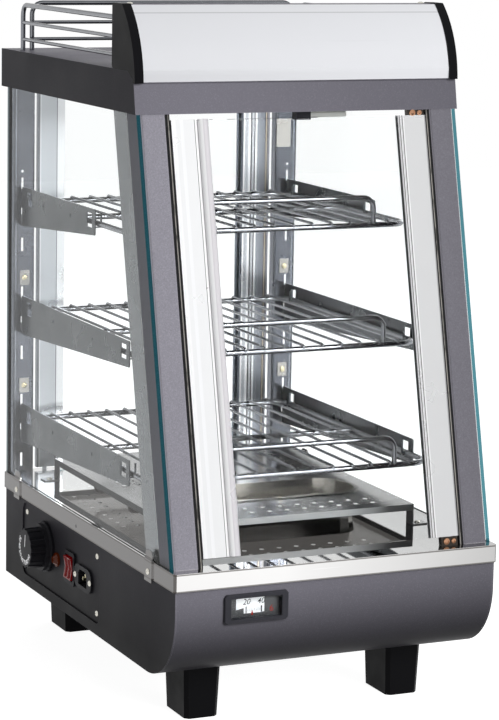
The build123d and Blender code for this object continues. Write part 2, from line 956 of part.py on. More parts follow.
def make_screws():
    """Pan-head screws of the clips, control plate, inlet, platform and sign box."""
    clip_points = [(clip_front_y, clip_screw_z()), (clip_rear_y, clip_screw_z())]
    sign_points = [(-sign_screw_x(), sign_screw_y()), (sign_screw_x(), sign_screw_y())]
    left_clip_face = side_view.offset(-half_width - clip_sheet)
    places = [
        (side_view.offset(half_width + clip_sheet), clip_points, 1, clip_sheet),
        (left_clip_face, clip_points, -1, clip_sheet),
        (control_face, plate_screw_points(), 1, base_sheet),
        (control_face.offset(inlet_flange), inlet_screw_points(), 1, inlet_flange),
        (ground.offset(floor_z + platform_sheet), platform_tab_points(), 1, platform_sheet),
        (ground.offset(sign_top - sign_inset), sign_points, 1, 0),
    ]
    with BuildPart() as screws:
        for plane, points, outward, grip in places:
            with BuildSketch(plane):
                with Locations(*points):
                    flat_sided(screw_head, hole_sides)
            extrude(amount=outward * screw_head_height, taper=screw_taper)
            if grip:
                with BuildSketch(plane):
                    with Locations(*points):
                        flat_sided(screw_shank, wire_sides)
                extrude(amount=-outward * grip)
    write_piece(screws, "screws")


def sign_screw_x():
    """Side distance of the screws in the sign box's top."""
    return skin_outer + cap_overhang - cap_thickness - screw_head


def sign_screw_y():
    """Depth of the screws in the sign box's top."""
    return sign_rear_y - screw_head


# Brackets and shelves


def make_bracket_pair(level, top, front):
    """Slotted-post bracket with two bent tabs that carry a shelf's side rods."""
    window_bottom = top - bracket_window_drop - bracket_window
    notch_z = top - rod_drop - rod_diameter / 2 - running_gap
    rear_window = rear_post_y - rear_window_offset - bracket_window
    front_window = front + front_window_offset
    with BuildPart() as right:
        with BuildSketch(side_view.offset(bracket_inner)) as outline:
            with BuildLine():
                Polyline(
                    (rear_post_y, top),
                    (front, top),
                    (front, top - bracket_front_height),
                    (rear_post_y, top - bracket_rear_height),
                    close=True,
                )
            make_face()
            chamfer(outline.vertices(), length=bend_radius * bend_cut)
            for window in (front_window, rear_window):
                with Locations((window + bracket_window / 2, window_bottom + bracket_window / 2)):
                    Rectangle(bracket_window, bracket_window, mode=Mode.SUBTRACT)
        extrude(amount=bracket_sheet)
        for window in (front_window, rear_window):
            with BuildSketch(front_view.offset(bracket_sheet - window)):
                with Locations((bracket_inner - tab_depth / 2, window_bottom + bracket_window / 2)):
                    Rectangle(tab_depth, bracket_window)
                with Locations((shelf_half_width, notch_z)):
                    Rectangle(
                        rod_diameter + 2 * running_gap,
                        bracket_window,
                        align=(Align.CENTER, Align.MIN),
                        mode=Mode.SUBTRACT,
                    )
            extrude(amount=-bracket_sheet)
        hook_tops = [top - bend_radius, top + slot_rise - slot_pitch - slot_height / 2]
        for hook_top in hook_tops:
            slot_index = hook_tops.index(hook_top)
            slot_bottom = top + slot_rise - slot_height - slot_index * slot_pitch
            drop = post_sheet + running_gap
            with BuildSketch(side_view.offset(bracket_inner)):
                with BuildLine():
                    Polyline(
                        (rear_post_y, hook_top),
                        (rear_post_y + hook_reach, hook_top),
                        (rear_post_y + hook_reach, slot_bottom - hook_reach / 2),
                        (rear_post_y + drop, slot_bottom - hook_reach / 2),
                        (rear_post_y + drop, slot_bottom),
                        (rear_post_y, slot_bottom),
                        close=True,
                    )
                make_face()
            extrude(amount=bracket_sheet)
    write_piece(right, f"bracket_{level}_right")
    write_piece(mirrored(right), f"bracket_{level}_left")


def make_shelf(level, bracket_top, front):
    """Plated wire shelf: rim rod, middle rod, thirteen wires and a front guard."""
    z = bracket_top - rod_drop
    wire_z = z + (rod_diameter + wire_diameter) / 2 - weld_overlap
    middle = (front + shelf_rear_y) / 2
    length = shelf_rear_y - front + rod_diameter
    rim = bent_rod(
        [
            at(0, shelf_rear_y, z),
            at(-shelf_half_width, shelf_rear_y, z),
            at(-shelf_half_width, front, z),
            at(shelf_half_width, front, z),
            at(shelf_half_width, shelf_rear_y, z),
            at(0, shelf_rear_y, z),
        ],
        [shelf_rear_corner, shelf_corner, shelf_corner, shelf_rear_corner],
        rod_diameter,
    )
    guard = bent_rod(
        [
            at(-guard_half_width, front, z),
            at(-guard_half_width, front, z + guard_rise),
            at(guard_half_width, front, z + guard_rise),
            at(guard_half_width, front, z),
        ],
        [guard_radius, guard_radius],
        guard_diameter,
    )
    with BuildPart() as shelf:
        add([rim.part, guard.part])
        with BuildSketch(side_view.offset(-shelf_half_width)):
            with Locations((middle, z)):
                flat_sided(rod_diameter)
        extrude(amount=2 * shelf_half_width)
        with BuildSketch(front_view.offset(-middle - length / 2)):
            with Locations((0, wire_z)):
                with GridLocations(wire_pitch, 0, wire_count, 1):
                    flat_sided(wire_diameter, wire_sides)
        extrude(amount=length)
    write_piece(shelf, f"shelf_{level}")


# Platform, pan and heater


def make_platform():
    """Holed bench over the heater, on four side legs with outward tabs."""
    length = platform_rear_y - platform_front_y
    centre_y = (platform_rear_y + platform_front_y) / 2
    width = 2 * platform_half_width
    leg_ends = [
        (platform_front_y + leg_width / 2, floor_z),
        (platform_rear_y - leg_width / 2, floor_z),
    ]
    with BuildPart() as bench:
        with BuildSketch(ground.offset(platform_z - platform_flange)):
            with Locations((0, centre_y)):
                Rectangle(width, length)
        extrude(amount=platform_flange)
        with BuildSketch(ground.offset(platform_z - platform_flange)):
            with Locations((0, centre_y)):
                Rectangle(width - 2 * platform_sheet, length - 2 * platform_sheet)
        extrude(amount=platform_flange - platform_sheet, mode=Mode.SUBTRACT)
        for leg_side in (-1, 1):
            for leg_y, leg_z in leg_ends:
                with BuildSketch(ground.offset(leg_z)):
                    with Locations((leg_side * (platform_half_width - platform_sheet / 2), leg_y)):
                        Rectangle(platform_sheet, leg_width)
                extrude(amount=platform_height - platform_flange)
                with BuildSketch(ground.offset(leg_z)):
                    with Locations((leg_side * (platform_half_width + leg_tab / 2), leg_y)):
                        Rectangle(leg_tab, leg_width)
                extrude(amount=platform_sheet)
        with BuildSketch(ground.offset(floor_z)):
            with Locations(*platform_tab_points()):
                drilled(screw_shank + hole_clearance)
        extrude(amount=platform_sheet, mode=Mode.SUBTRACT)
        with BuildSketch(ground.offset(platform_z)):
            with Locations((0, (pan_front_y + pan_rear_y) / 2)):
                flat_cornered(
                    2 * (pan_half_width + fit_gap), pan_length + 2 * fit_gap, pan_corner, corner_flats
                )
            vents_y = platform_front_y + vent_front_inset + vent_row_pitch / 2
            with Locations((0, vents_y)):
                with GridLocations(vent_column_pitch, vent_row_pitch, vent_columns, vent_rows):
                    drilled(vent_diameter)
            for vent_side in (-1, 1):
                for vent in range(side_vent_count):
                    with Locations((
                        vent_side * (platform_half_width - side_vent_inset),
                        side_vent_y + vent * side_vent_pitch,
                    )):
                        drilled(vent_diameter)
        extrude(amount=-2 * platform_sheet, mode=Mode.SUBTRACT)
    write_piece(bench, "platform")


def make_pan():
    """Lift-out water pan with drafted walls and a flat rim."""
    centre = (0, (pan_front_y + pan_rear_y) / 2)
    rim_z = platform_z + running_gap
    width = 2 * pan_half_width
    inner_width = width - 2 * pan_sheet
    inner_length = pan_length - 2 * pan_sheet
    floor_level = rim_z - pan_depth
    with BuildPart() as pan:
        with BuildSketch(ground.offset(rim_z)):
            with Locations(centre):
                flat_cornered(width, pan_length, pan_corner, corner_flats)
        with BuildSketch(ground.offset(floor_level)):
            with Locations(centre):
                flat_cornered(
                    width - 2 * pan_draft,
                    pan_length - 2 * pan_draft,
                    pan_corner - pan_draft,
                    corner_flats,
                )
        loft(ruled=True)
        with BuildSketch(ground.offset(rim_z)):
            with Locations(centre):
                flat_cornered(
                    width + 2 * pan_rim, pan_length + 2 * pan_rim, pan_corner + pan_rim, corner_flats
                )
        extrude(amount=pan_sheet)
        with BuildSketch(ground.offset(rim_z + pan_sheet)):
            with Locations(centre):
                flat_cornered(inner_width, inner_length, pan_corner - pan_sheet, corner_flats)
        with BuildSketch(ground.offset(floor_level + pan_sheet)):
            with Locations(centre):
                flat_cornered(
                    inner_width - 2 * pan_draft,
                    inner_length - 2 * pan_draft,
                    pan_corner - pan_sheet - pan_draft,
                    corner_flats,
                )
        loft(ruled=True, mode=Mode.SUBTRACT)
    write_piece(pan, "water_pan")


def make_heater():
    """Tubular element bent in a wide loop, with both tails down through the tray."""
    z = floor_z + element_rise
    element = bent_rod(
        [
            at(-element_half_width, element_front_y, floor_z - element_tail),
            at(-element_half_width, element_front_y, z),
            at(element_half_width, element_front_y, z),
            at(element_half_width, element_rear_y, z),
            at(-element_half_width, element_rear_y, z),
            at(-element_half_width, element_rear_y, floor_z - element_tail),
        ],
        [element_rise / 2, element_bend, element_bend, element_rise / 2],
        element_diameter,
    )
    write_piece(element, "heating_element")


# Doors


def make_door(name, plane, bottom, top):
    """Glass door between a handle profile and a hinge strip with pivot pins."""
    length = top - bottom
    end = Plane(
        origin=plane.from_local_coords((0, top, 0)), x_dir=plane.x_dir, z_dir=-plane.y_dir
    )
    handle_inner = handle_width - door_half_width
    bead_x = handle_inner - bead_diameter / 2
    glass_middle = -door_thickness / 2
    handle_middle = handle_inner - handle_width / 2
    groove_x = handle_inner - bead_diameter
    with BuildPart() as handle:
        with BuildSketch(end):
            with Locations((handle_middle - bead_diameter / 4, -door_thickness / 2)):
                Rectangle(handle_width - bead_diameter / 2, door_thickness)
            with Locations((bead_x, 0)):
                Circle(bead_diameter / 2)
            with Locations((groove_x, 0)):
                Rectangle(handle_groove, 2 * handle_groove_depth, mode=Mode.SUBTRACT)
            with Locations((handle_inner - glass_seat / 2, glass_middle)):
                Rectangle(
                    glass_seat + fit_gap, door_glass_sheet + fit_gap, mode=Mode.SUBTRACT
                )
        extrude(amount=length)
    write_piece(handle, f"{name}_handle")

    strip_inner = door_half_width - hinge_width
    with BuildPart() as strip:
        with BuildSketch(end):
            with Locations((door_half_width - hinge_width / 2, -door_thickness / 2)):
                Rectangle(hinge_width, door_thickness)
            with Locations((strip_inner + hinge_edge, 0)):
                Rectangle(handle_groove, 2 * handle_groove_depth, mode=Mode.SUBTRACT)
            with Locations((strip_inner + glass_seat / 2, glass_middle)):
                Rectangle(
                    glass_seat + fit_gap, door_glass_sheet + fit_gap, mode=Mode.SUBTRACT
                )
        extrude(amount=length)
        pin_above, pin_below = pin_reaches(name)
        with BuildSketch(end.offset(-pin_above)):
            with Locations((hinge_x, glass_middle)):
                Circle(hinge_pin / 2)
        extrude(amount=pin_above + length + pin_below)
    write_piece(strip, f"{name}_hinge_strip")

    pane_left = handle_inner - glass_seat
    pane_right = strip_inner + glass_seat
    with BuildPart() as pane:
        with BuildSketch(plane.offset(glass_middle - door_glass_sheet / 2)):
            with Locations(((pane_left + pane_right) / 2, (bottom + top) / 2)):
                Rectangle(pane_right - pane_left, length)
        extrude(amount=door_glass_sheet)
    write_piece(pane, f"{name}_glass")


def pin_reaches(name):
    """How far a door's pivot pins reach past its top and bottom edges."""
    if name == "front_door":
        return front_door_top_gap - pin_stop, front_door_bottom_gap - pin_stop
    return rear_door_top_gap + housing_sheet + running_gap, rear_door_bottom_gap + tray_sheet / 2


def pivot_block(low, high, level, kept):
    """Block bored for a pivot pin, cut off level with the sheet that carries it."""
    end = Plane(
        origin=front_door_plane.from_local_coords((0, high, 0)),
        x_dir=front_door_plane.x_dir,
        z_dir=-front_door_plane.y_dir,
    )
    with BuildPart() as block:
        with BuildSketch(end):
            with Locations((hinge_x, -door_thickness / 2)):
                Rectangle(pivot_width, door_thickness)
                Circle(hinge_pin / 2 + pin_clearance, mode=Mode.SUBTRACT)
        extrude(amount=high - low)
        split(bisect_by=ground.offset(level), keep=kept)
    return block.part


def make_pivot_blocks():
    """Blocks on the tray and under the roof that take the front door's pins."""
    spare = door_thickness
    foot = pivot_block(-spare, front_door_bottom_gap - running_gap, floor_z, Keep.TOP)
    head = pivot_block(
        slope_length - front_door_top_gap + running_gap,
        slope_length + spare,
        housing_z,
        Keep.BOTTOM,
    )
    with BuildPart() as blocks:
        add([foot, head])
    write_piece(blocks, "front_pivot_blocks")


def make_gaskets():
    """Black seals between the front posts and the door's long edges."""
    width = door_gap - gasket_gap
    with BuildPart() as gaskets:
        with BuildSketch(ground.offset(floor_z)):
            y = front_post_y + gasket_depth / 2 + post_sheet
            with Locations((-post_inner + width / 2, y), (post_inner - width / 2, y)):
                Rectangle(width, gasket_depth)
        extrude(amount=slope_length, dir=up_slope)
    write_piece(gaskets, "front_door_gaskets")


# Roof


def housing_outline(grow):
    """Side outline of the housing, with its front edges moved rearwards by a sheet."""
    return [
        (housing_rear_y, housing_z),
        (housing_rear_y, housing_top),
        (housing_flat_y, housing_top),
        (fascia_top_y + grow, fascia_top + housing_corner_rise),
        (fascia_top_y + grow, fascia_top),
        (fascia_y + grow, housing_z),
    ]


def make_housing():
    """Cover, front fascia and ceiling of the roof."""
    outline = housing_outline(housing_sheet)
    with BuildPart() as cover:
        with BuildSketch(side_view):
            make_face(bent_sheet(outline[:4], [bend_radius, bend_radius], housing_sheet))
        extrude(amount=skin_outer, both=True)
        for skin in (-skin_outer, skin_inner):
            with BuildSketch(side_view.offset(skin)):
                with BuildLine():
                    Polyline(*outline, close=True)
                make_face()
            extrude(amount=housing_sheet)
    write_piece(cover, "top_cover")

    with BuildPart() as fascia:
        with BuildSketch(side_view):
            make_face(bent_sheet(
                [
                    (fascia_y + fascia_return, housing_z),
                    (fascia_y, housing_z),
                    (fascia_top_y, fascia_top),
                ],
                [bend_radius],
                housing_sheet,
                side=Side.RIGHT,
            ))
        extrude(amount=glass_inner, both=True)
        with BuildSketch(side_view):
            with BuildLine():
                Polyline(
                    (fascia_y, housing_z),
                    (fascia_top_y, fascia_top),
                    (fascia_top_y + housing_sheet, fascia_top),
                    (fascia_y + housing_sheet, housing_z),
                    close=True,
                )
            make_face()
        extrude(amount=skin_outer, both=True)
    write_piece(fascia, "front_fascia")

    front_edge = fascia_y + fascia_return
    rear_edge = housing_rear_y - housing_sheet
    with BuildPart() as ceiling:
        with BuildSketch(ground.offset(housing_z)):
            with Locations((0, (front_edge + rear_edge) / 2)):
                Rectangle(2 * glass_inner, rear_edge - front_edge)
            with Locations((-hinge_x, rear_pin_y())):
                Circle(hinge_pin / 2 + pin_clearance, mode=Mode.SUBTRACT)
        extrude(amount=housing_sheet)
    write_piece(ceiling, "ceiling_panel")


def sign_front():
    """Lower front and upper front points of the sign box."""
    low = (fascia_top_y - sign_front_overhang, fascia_top)
    high = (sign_rear_y - sign_top_length, sign_top)
    return low, high


def sign_centre():
    """Centre of the arc through both front points of the sign box."""
    (low_y, low_z), (high_y, high_z) = sign_front()
    chord = hypot(high_y - low_y, high_z - low_z)
    reach = (sign_front_radius**2 - chord**2 / 4) ** 0.5
    along_y = (high_y - low_y) / chord
    along_z = (high_z - low_z) / chord
    middle_y = (low_y + high_y) / 2
    middle_z = (low_z + high_z) / 2
    return middle_y + reach * along_z, middle_z - reach * along_y


def make_sign():
    """Sign box: end caps, sheet back with its lower lip, and curved front panel."""
    low, high = sign_front()
    centre = sign_centre()
    outline = housing_outline(housing_sheet)
    cap_outer = skin_outer + cap_overhang
    cap_inner = cap_outer - cap_thickness
    with BuildPart() as right_cap:
        with BuildSketch(side_view.offset(cap_inner)) as profile:
            with BuildLine():
                Polyline(
                    high,
                    (sign_rear_y, sign_top),
                    (sign_rear_y, housing_top),
                    outline[2],
                    outline[3],
                    outline[4],
                    low,
                )
                middle = hypot((low[0] + high[0]) / 2 - centre[0], (low[1] + high[1]) / 2 - centre[1])
                grow = sign_front_radius / middle
                ThreePointArc(
                    low,
                    (
                        centre[0] + ((low[0] + high[0]) / 2 - centre[0]) * grow,
                        centre[1] + ((low[1] + high[1]) / 2 - centre[1]) * grow,
                    ),
                    high,
                )
            make_face()
            fillet(profile.vertices().group_by(Axis.X)[-1], radius=cap_corner)
        extrude(amount=cap_thickness)
    write_piece(right_cap, "sign_cap_right")
    write_piece(mirrored(right_cap), "sign_cap_left")

    lip_y = low[0] + 2 * sign_inset
    lip_top = housing_top + sign_inset
    inner_rear = sign_rear_y - sign_inset
    inner_top = sign_top - sign_inset
    with BuildPart() as back:
        with BuildSketch(side_view):
            make_face(bent_sheet(
                [
                    (high[0], inner_top),
                    (inner_rear, inner_top),
                    (inner_rear, housing_top),
                    outline[2],
                    outline[3],
                ],
                [bend_radius, bend_radius, bend_radius],
                sign_sheet,
                side=Side.RIGHT,
            ))
            with BuildLine():
                Polyline(
                    (lip_y, fascia_top + running_gap),
                    (outline[4][0], fascia_top + running_gap),
                    outline[3],
                    (outline[3][0], outline[3][1] + sign_sheet),
                    (lip_y + sign_sheet, outline[3][1] + sign_sheet),
                    (lip_y + 3 * sign_sheet, lip_top),
                    (lip_y + sign_sheet, lip_top),
                    close=True,
                )
            make_face()
        extrude(amount=cap_inner, both=True)
    write_piece(back, "sign_back")

    with BuildPart() as panel:
        with BuildSketch(side_view) as ring:
            with Locations(centre):
                Circle(sign_front_radius - sign_inset)
                Circle(sign_front_radius - sign_inset - acrylic_sheet, mode=Mode.SUBTRACT)
            with Locations(((low[0] + high[0]) / 2, (lip_top + inner_top) / 2)):
                Rectangle(high[0] - low[0], inner_top - lip_top, mode=Mode.INTERSECT)
        extrude(amount=cap_inner, both=True)
    write_piece(panel, "sign_panel")
    return centre


def make_lamps():
    """Sign tube and cabin bulb, with their holders."""
    low, high = sign_front()
    tube_y = (low[0] + sign_rear_y) / 2 + lamp_holder_side / 2
    tube_z = housing_top + sign_height / 2
    holder_start = lamp_tube_length / 2
    cap_inner = skin_outer + cap_overhang - cap_thickness
    bulb_z = housing_z - inner_holder_side / 2
    with BuildPart() as tubes:
        with BuildSketch(side_view.offset(-lamp_tube_length / 2)):
            with Locations((tube_y, tube_z)):
                flat_sided(lamp_tube, lamp_sides)
        extrude(amount=lamp_tube_length)
        with BuildSketch(side_view.offset(inner_lamp_x)):
            with Locations((inner_lamp_y, bulb_z)):
                flat_sided(inner_lamp_tube)
        extrude(amount=inner_lamp_length)
    write_piece(tubes, "lamp_tubes")

    with BuildPart() as holders:
        for start in (-cap_inner, holder_start):
            with BuildSketch(side_view.offset(start)):
                with Locations((tube_y, tube_z)):
                    flat_cornered(lamp_holder_side, lamp_holder_side, bend_radius)
            extrude(amount=cap_inner - holder_start)
        with BuildSketch(side_view.offset(inner_lamp_x - lamp_holder_length)):
            with Locations((inner_lamp_y, bulb_z)):
                Rectangle(inner_holder_side, inner_holder_side)
        extrude(amount=lamp_holder_length)
    write_piece(holders, "lamp_holders")


def rail_section(start, end, level):
    """One rail: bent top rod on two legs, with two thinner rods between them."""
    top = housing_top + level
    points = [at(*start, housing_top), at(*start, top), at(*end, top), at(*end, housing_top)]
    frame = bent_rod(points, [rail_bend, rail_bend], rail_rod)
    with BuildPart() as rail:
        add(frame.part)
        for height in (rail_low, rail_middle):
            with BuildLine() as run:
                Line(at(*start, housing_top + height), at(*end, housing_top + height))
            with BuildSketch(Plane(origin=run.line @ 0, z_dir=run.line % 0)):
                flat_sided(rail_wire)
            sweep(path=run.line)
    return rail


def make_rails():
    """Three rails round the roof behind the sign box."""
    right = rail_section((rail_x, rail_front_y), (rail_x, rail_rear_y), rail_height)
    write_piece(right, "guard_rail_right")
    write_piece(mirrored(right), "guard_rail_left")
    rear = rail_section(
        (-rear_rail_half_width, rail_rear_y),
        (rear_rail_half_width, rail_rear_y),
        rail_height + rear_rail_lift,
    )
    write_piece(rear, "guard_rail_rear")


make_base()
make_tray()
make_control_plate()
make_thermostat()
make_indicator_lamp()
make_switch()
make_inlet()
make_thermometer()
make_front_posts()
make_rear_posts()
make_side_glass()
make_clips()
make_screws()
for level_name, level_top, level_front in bracket_levels():
    make_bracket_pair(level_name, level_top, level_front)
make_shelf("bottom", bracket_top_z, bottom_shelf_front_y)
make_shelf("middle", bracket_top_z + bracket_pitch, middle_shelf_front_y)
make_shelf("top", bracket_top_z + 2 * bracket_pitch, top_shelf_front_y)
make_platform()
make_pan()
make_heater()
make_door(
    "front_door", front_door_plane, front_door_bottom_gap, slope_length - front_door_top_gap
)
make_door("rear_door", rear_door_plane, rear_door_bottom_gap, glazing_height - rear_door_top_gap)
make_pivot_blocks()
make_gaskets()
make_housing()
make_sign()
make_lamps()
make_rails()
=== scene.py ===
import math

import bmesh
import bpy
from bpy.props import FloatProperty, FloatVectorProperty, IntProperty, PointerProperty
from mathutils import Matrix, Vector


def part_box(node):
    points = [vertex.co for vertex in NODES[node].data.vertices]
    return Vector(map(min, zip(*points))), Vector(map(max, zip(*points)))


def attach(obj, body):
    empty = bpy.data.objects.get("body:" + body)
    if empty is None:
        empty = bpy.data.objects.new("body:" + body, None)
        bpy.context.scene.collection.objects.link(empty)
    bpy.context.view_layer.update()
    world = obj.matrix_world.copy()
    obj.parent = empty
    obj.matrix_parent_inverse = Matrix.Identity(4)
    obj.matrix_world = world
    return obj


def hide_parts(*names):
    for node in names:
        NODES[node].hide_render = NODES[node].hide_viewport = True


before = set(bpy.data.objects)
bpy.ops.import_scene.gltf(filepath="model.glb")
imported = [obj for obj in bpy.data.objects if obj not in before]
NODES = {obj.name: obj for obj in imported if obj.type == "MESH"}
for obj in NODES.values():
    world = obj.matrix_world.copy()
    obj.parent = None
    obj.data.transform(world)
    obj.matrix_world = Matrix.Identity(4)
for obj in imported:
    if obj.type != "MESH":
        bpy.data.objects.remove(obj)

bl_info = {
    "name": "Heated display case looks",
    "version": (1, 0, 0),
    "blender": (4, 5, 0),
    "location": "3D View > Sidebar > Display Case",
    "description": "Finishes, fine parts and studio for a countertop heated display case",
    "category": "Object",
}

MM = 0.001
WHITE = (1.0, 1.0, 1.0, 1.0)
X_AXIS = (1.0, 0.0, 0.0)
Y_AXIS = (0.0, 1.0, 0.0)
Z_AXIS = (0.0, 0.0, 1.0)
LEFT = (-1.0, 0.0, 0.0)
FRONT = (0.0, -1.0, 0.0)
DOWN = (0.0, 0.0, -1.0)
# The front door leans back by 98.7 mm over a height of 427 mm
LEAN = math.atan2(98.7, 427.0)
DOOR_FACE = (0.0, -math.cos(LEAN), math.sin(LEAN))
FINISHES = {}


def box_mm(node):
    """Lowest and highest corner of a part of the case, in millimetres."""
    low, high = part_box(node)
    return low / MM, high / MM


TRAY_LOW, TRAY_HIGH = box_mm("floor_tray")
CASE_X = (TRAY_LOW.x + TRAY_HIGH.x) / 2
CASE_Y = (TRAY_LOW.y + TRAY_HIGH.y) / 2
ORIGIN = {"X": CASE_X, "Y": CASE_Y, "Z": 0.0}


def at(x, y, z):
    """Point in metres from millimetres off the middle of the floor tray."""
    return Vector((CASE_X + x, CASE_Y + y, z)) * MM


def scaled(colour, share, plus=0.0):
    """Share of a colour, made lighter by an amount and kept within white."""
    return [min(1.0, part * share + plus) for part in colour]


class CaseSizes(bpy.types.PropertyGroup):
    """Sizes of the fine parts that are added to the case."""

    shelf_rod: FloatProperty(
        name="Shelf rod", description="Thickness of the shelf rims", default=6.0 * MM, unit="LENGTH"
    )
    shelf_wire: FloatProperty(
        name="Shelf wire", description="Thickness of the shelf wires", default=3.0 * MM, unit="LENGTH"
    )
    shelf_guard: FloatProperty(
        name="Shelf guard", description="Thickness of the front guards", default=5.4 * MM, unit="LENGTH"
    )
    rail_rod: FloatProperty(
        name="Rail rod", description="Thickness of the top rail rods", default=5.4 * MM, unit="LENGTH"
    )
    rail_wire: FloatProperty(
        name="Rail wire", description="Thickness of the middle rail rods", default=4.0 * MM, unit="LENGTH"
    )
    element_rod: FloatProperty(
        name="Element", description="Thickness of the heating element", default=6.4 * MM, unit="LENGTH"
    )
    numeral: FloatProperty(
        name="Numeral", description="Height of the numerals on the knob", default=5.0 * MM, unit="LENGTH"
    )
    edge_wear: FloatProperty(
        name="Edge wear", description="Width of the rubbed band along edges",
        default=0.5 * MM, unit="LENGTH",
    )
    rod_smoothness: IntProperty(
        name="Rod smoothness", description="Rounding of rods and wires", default=3, min=1, max=6
    )


class CaseColours(bpy.types.PropertyGroup):
    """Colours of the finishes."""

    shell_paint: FloatVectorProperty(
        name="Shell paint", description="Dark metallic paint of the base and the top housing",
        subtype="COLOR", default=(0.180, 0.174, 0.204),
    )
    post_paint: FloatVectorProperty(
        name="Post paint", description="Speckled metallic paint of the front posts",
        subtype="COLOR", default=(0.264, 0.256, 0.294),
    )
    tray_steel: FloatVectorProperty(
        name="Tray steel", description="Polished steel of the floor tray",
        subtype="COLOR", default=(0.71, 0.705, 0.70),
    )
    chrome: FloatVectorProperty(
        name="Chrome", description="Plating of the wire shelves",
        subtype="COLOR", default=(0.27, 0.28, 0.30),
    )
    aluminium: FloatVectorProperty(
        name="Aluminium", description="Handle and hinge profiles",
        subtype="COLOR", default=(0.80, 0.805, 0.815),
    )
    glass_edge: FloatVectorProperty(
        name="Glass edge", description="Polished edges of the panes",
        subtype="COLOR", default=(0.04, 0.26, 0.34),
    )
    sign_white: FloatVectorProperty(
        name="Sign white", description="Acrylic of the sign",
        subtype="COLOR", default=(0.665, 0.672, 0.70),
    )
    moulding: FloatVectorProperty(
        name="Moulding", description="Black mouldings", subtype="COLOR", default=(0.008, 0.008, 0.0095)
    )
    rocker_red: FloatVectorProperty(
        name="Rocker red", description="Rocker of the switch",
        subtype="COLOR", default=(0.34, 0.004, 0.006),
    )
    lamp_amber: FloatVectorProperty(
        name="Lamp amber", description="Indicator lamp", subtype="COLOR", default=(0.17, 0.026, 0.002)
    )


class StudioSettings(bpy.types.PropertyGroup):
    """Lights and floor of the studio."""

    key_power: FloatProperty(
        name="Key", description="Power of the large front light", default=98.0, min=0.0, unit="POWER"
    )
    fill_power: FloatProperty(
        name="Fill", description="Power of the light behind the right side",
        default=22.0, min=0.0, unit="POWER",
    )
    top_power: FloatProperty(
        name="Top", description="Power of the overhead light", default=9.0, min=0.0, unit="POWER"
    )
    ambient: FloatProperty(
        name="Ambient", description="Level of the room light on matt surfaces",
        default=0.08, min=0.0, max=1.0,
    )
    floor_size: FloatProperty(
        name="Floor", description="Side of the studio floor", default=9.0, min=1.0, unit="LENGTH"
    )


def sizes():
    """Sizes that the scene holds."""
    return bpy.context.scene.case_sizes


def colours():
    """Colours that the scene holds."""
    return bpy.context.scene.case_colours


def studio():
    """Studio settings that the scene holds."""
    return bpy.context.scene.case_studio


# Node helpers


def connect(tree, value, socket):
    """Links a socket to another one, or sets its value."""
    if isinstance(value, bpy.types.NodeSocket):
        tree.links.new(value, socket)
    else:
        socket.default_value = value


def fill(tree, node, inputs):
    """Connects the named inputs of a node."""
    for label, value in inputs.items():
        connect(tree, value, node.inputs[label.replace("_", " ")])
    return node


def add_node(tree, kind, **inputs):
    """New shader node with its inputs connected."""
    return fill(tree, tree.nodes.new("ShaderNode" + kind), inputs)


def maths(tree, operation, *values):
    """Result of a math node."""
    node = tree.nodes.new("ShaderNodeMath")
    node.operation = operation
    for value, socket in zip(values, node.inputs):
        connect(tree, value, socket)
    return node.outputs["Value"]


def dot(tree, first, second):
    """Dot product of two vectors."""
    node = tree.nodes.new("ShaderNodeVectorMath")
    node.operation = "DOT_PRODUCT"
    connect(tree, first, node.inputs[0])
    connect(tree, second, node.inputs[1])
    return node.outputs["Value"]


# Shared effects


def new_effect(name, output, **values):
    """Node group that turns a vector and some values into one value."""
    group = bpy.data.node_groups.new(name, "ShaderNodeTree")
    sockets = group.interface
    sockets.new_socket(name="Vector", in_out="INPUT", socket_type="NodeSocketVector")
    for label, value in values.items():
        socket = sockets.new_socket(name=label, in_out="INPUT", socket_type="NodeSocketFloat")
        socket.default_value = value
    sockets.new_socket(name=output, in_out="OUTPUT", socket_type="NodeSocketFloat")
    enter = group.nodes.new("NodeGroupInput").outputs
    leave = group.nodes.new("NodeGroupOutput").inputs[output]
    return group, enter, leave


def noise(group, enter, vector, **values):
    """Noise at the scale that goes into an effect."""
    return add_node(group, "TexNoise", Vector=vector, Scale=enter["Scale"], **values).outputs["Fac"]


def noise_effect(name, output, scale, stretch, **values):
    """Plain noise, drawn out along the axes where a stretch is given."""
    group, enter, leave = new_effect(name, output, Scale=scale)
    vector = enter["Vector"]
    if stretch:
        vector = add_node(group, "Mapping", Vector=vector, Scale=stretch).outputs["Vector"]
    group.links.new(noise(group, enter, vector, **values), leave)


def flake_effect():
    """Tiny specks of metallic paint."""
    group, enter, leave = new_effect("Paint flake", "Mask", Scale=900.0, Share=0.8)
    cells = add_node(group, "TexVoronoi", Vector=enter["Vector"], Scale=enter["Scale"])
    split = add_node(group, "SeparateColor", Color=cells.outputs["Color"])
    group.links.new(maths(group, "GREATER_THAN", split.outputs["Red"], enter["Share"]), leave)


def scratches_effect():
    """Sparse hair scratches that cross at two slants."""
    group, enter, leave = new_effect("Hair scratches", "Mask", Scale=9.0, Sparsity=0.72)
    masks = []
    for turn, stretch in ((0.5, 34.0), (2.2, 46.0)):
        mapping = add_node(
            group, "Mapping", Vector=enter["Vector"],
            Rotation=(turn, turn * 0.6, turn), Scale=(1.0, stretch, stretch),
        )
        line = noise(group, enter, mapping.outputs["Vector"], Detail=1.0)
        masks.append(maths(group, "GREATER_THAN", line, enter["Sparsity"]))
    group.links.new(maths(group, "MAXIMUM", *masks), leave)


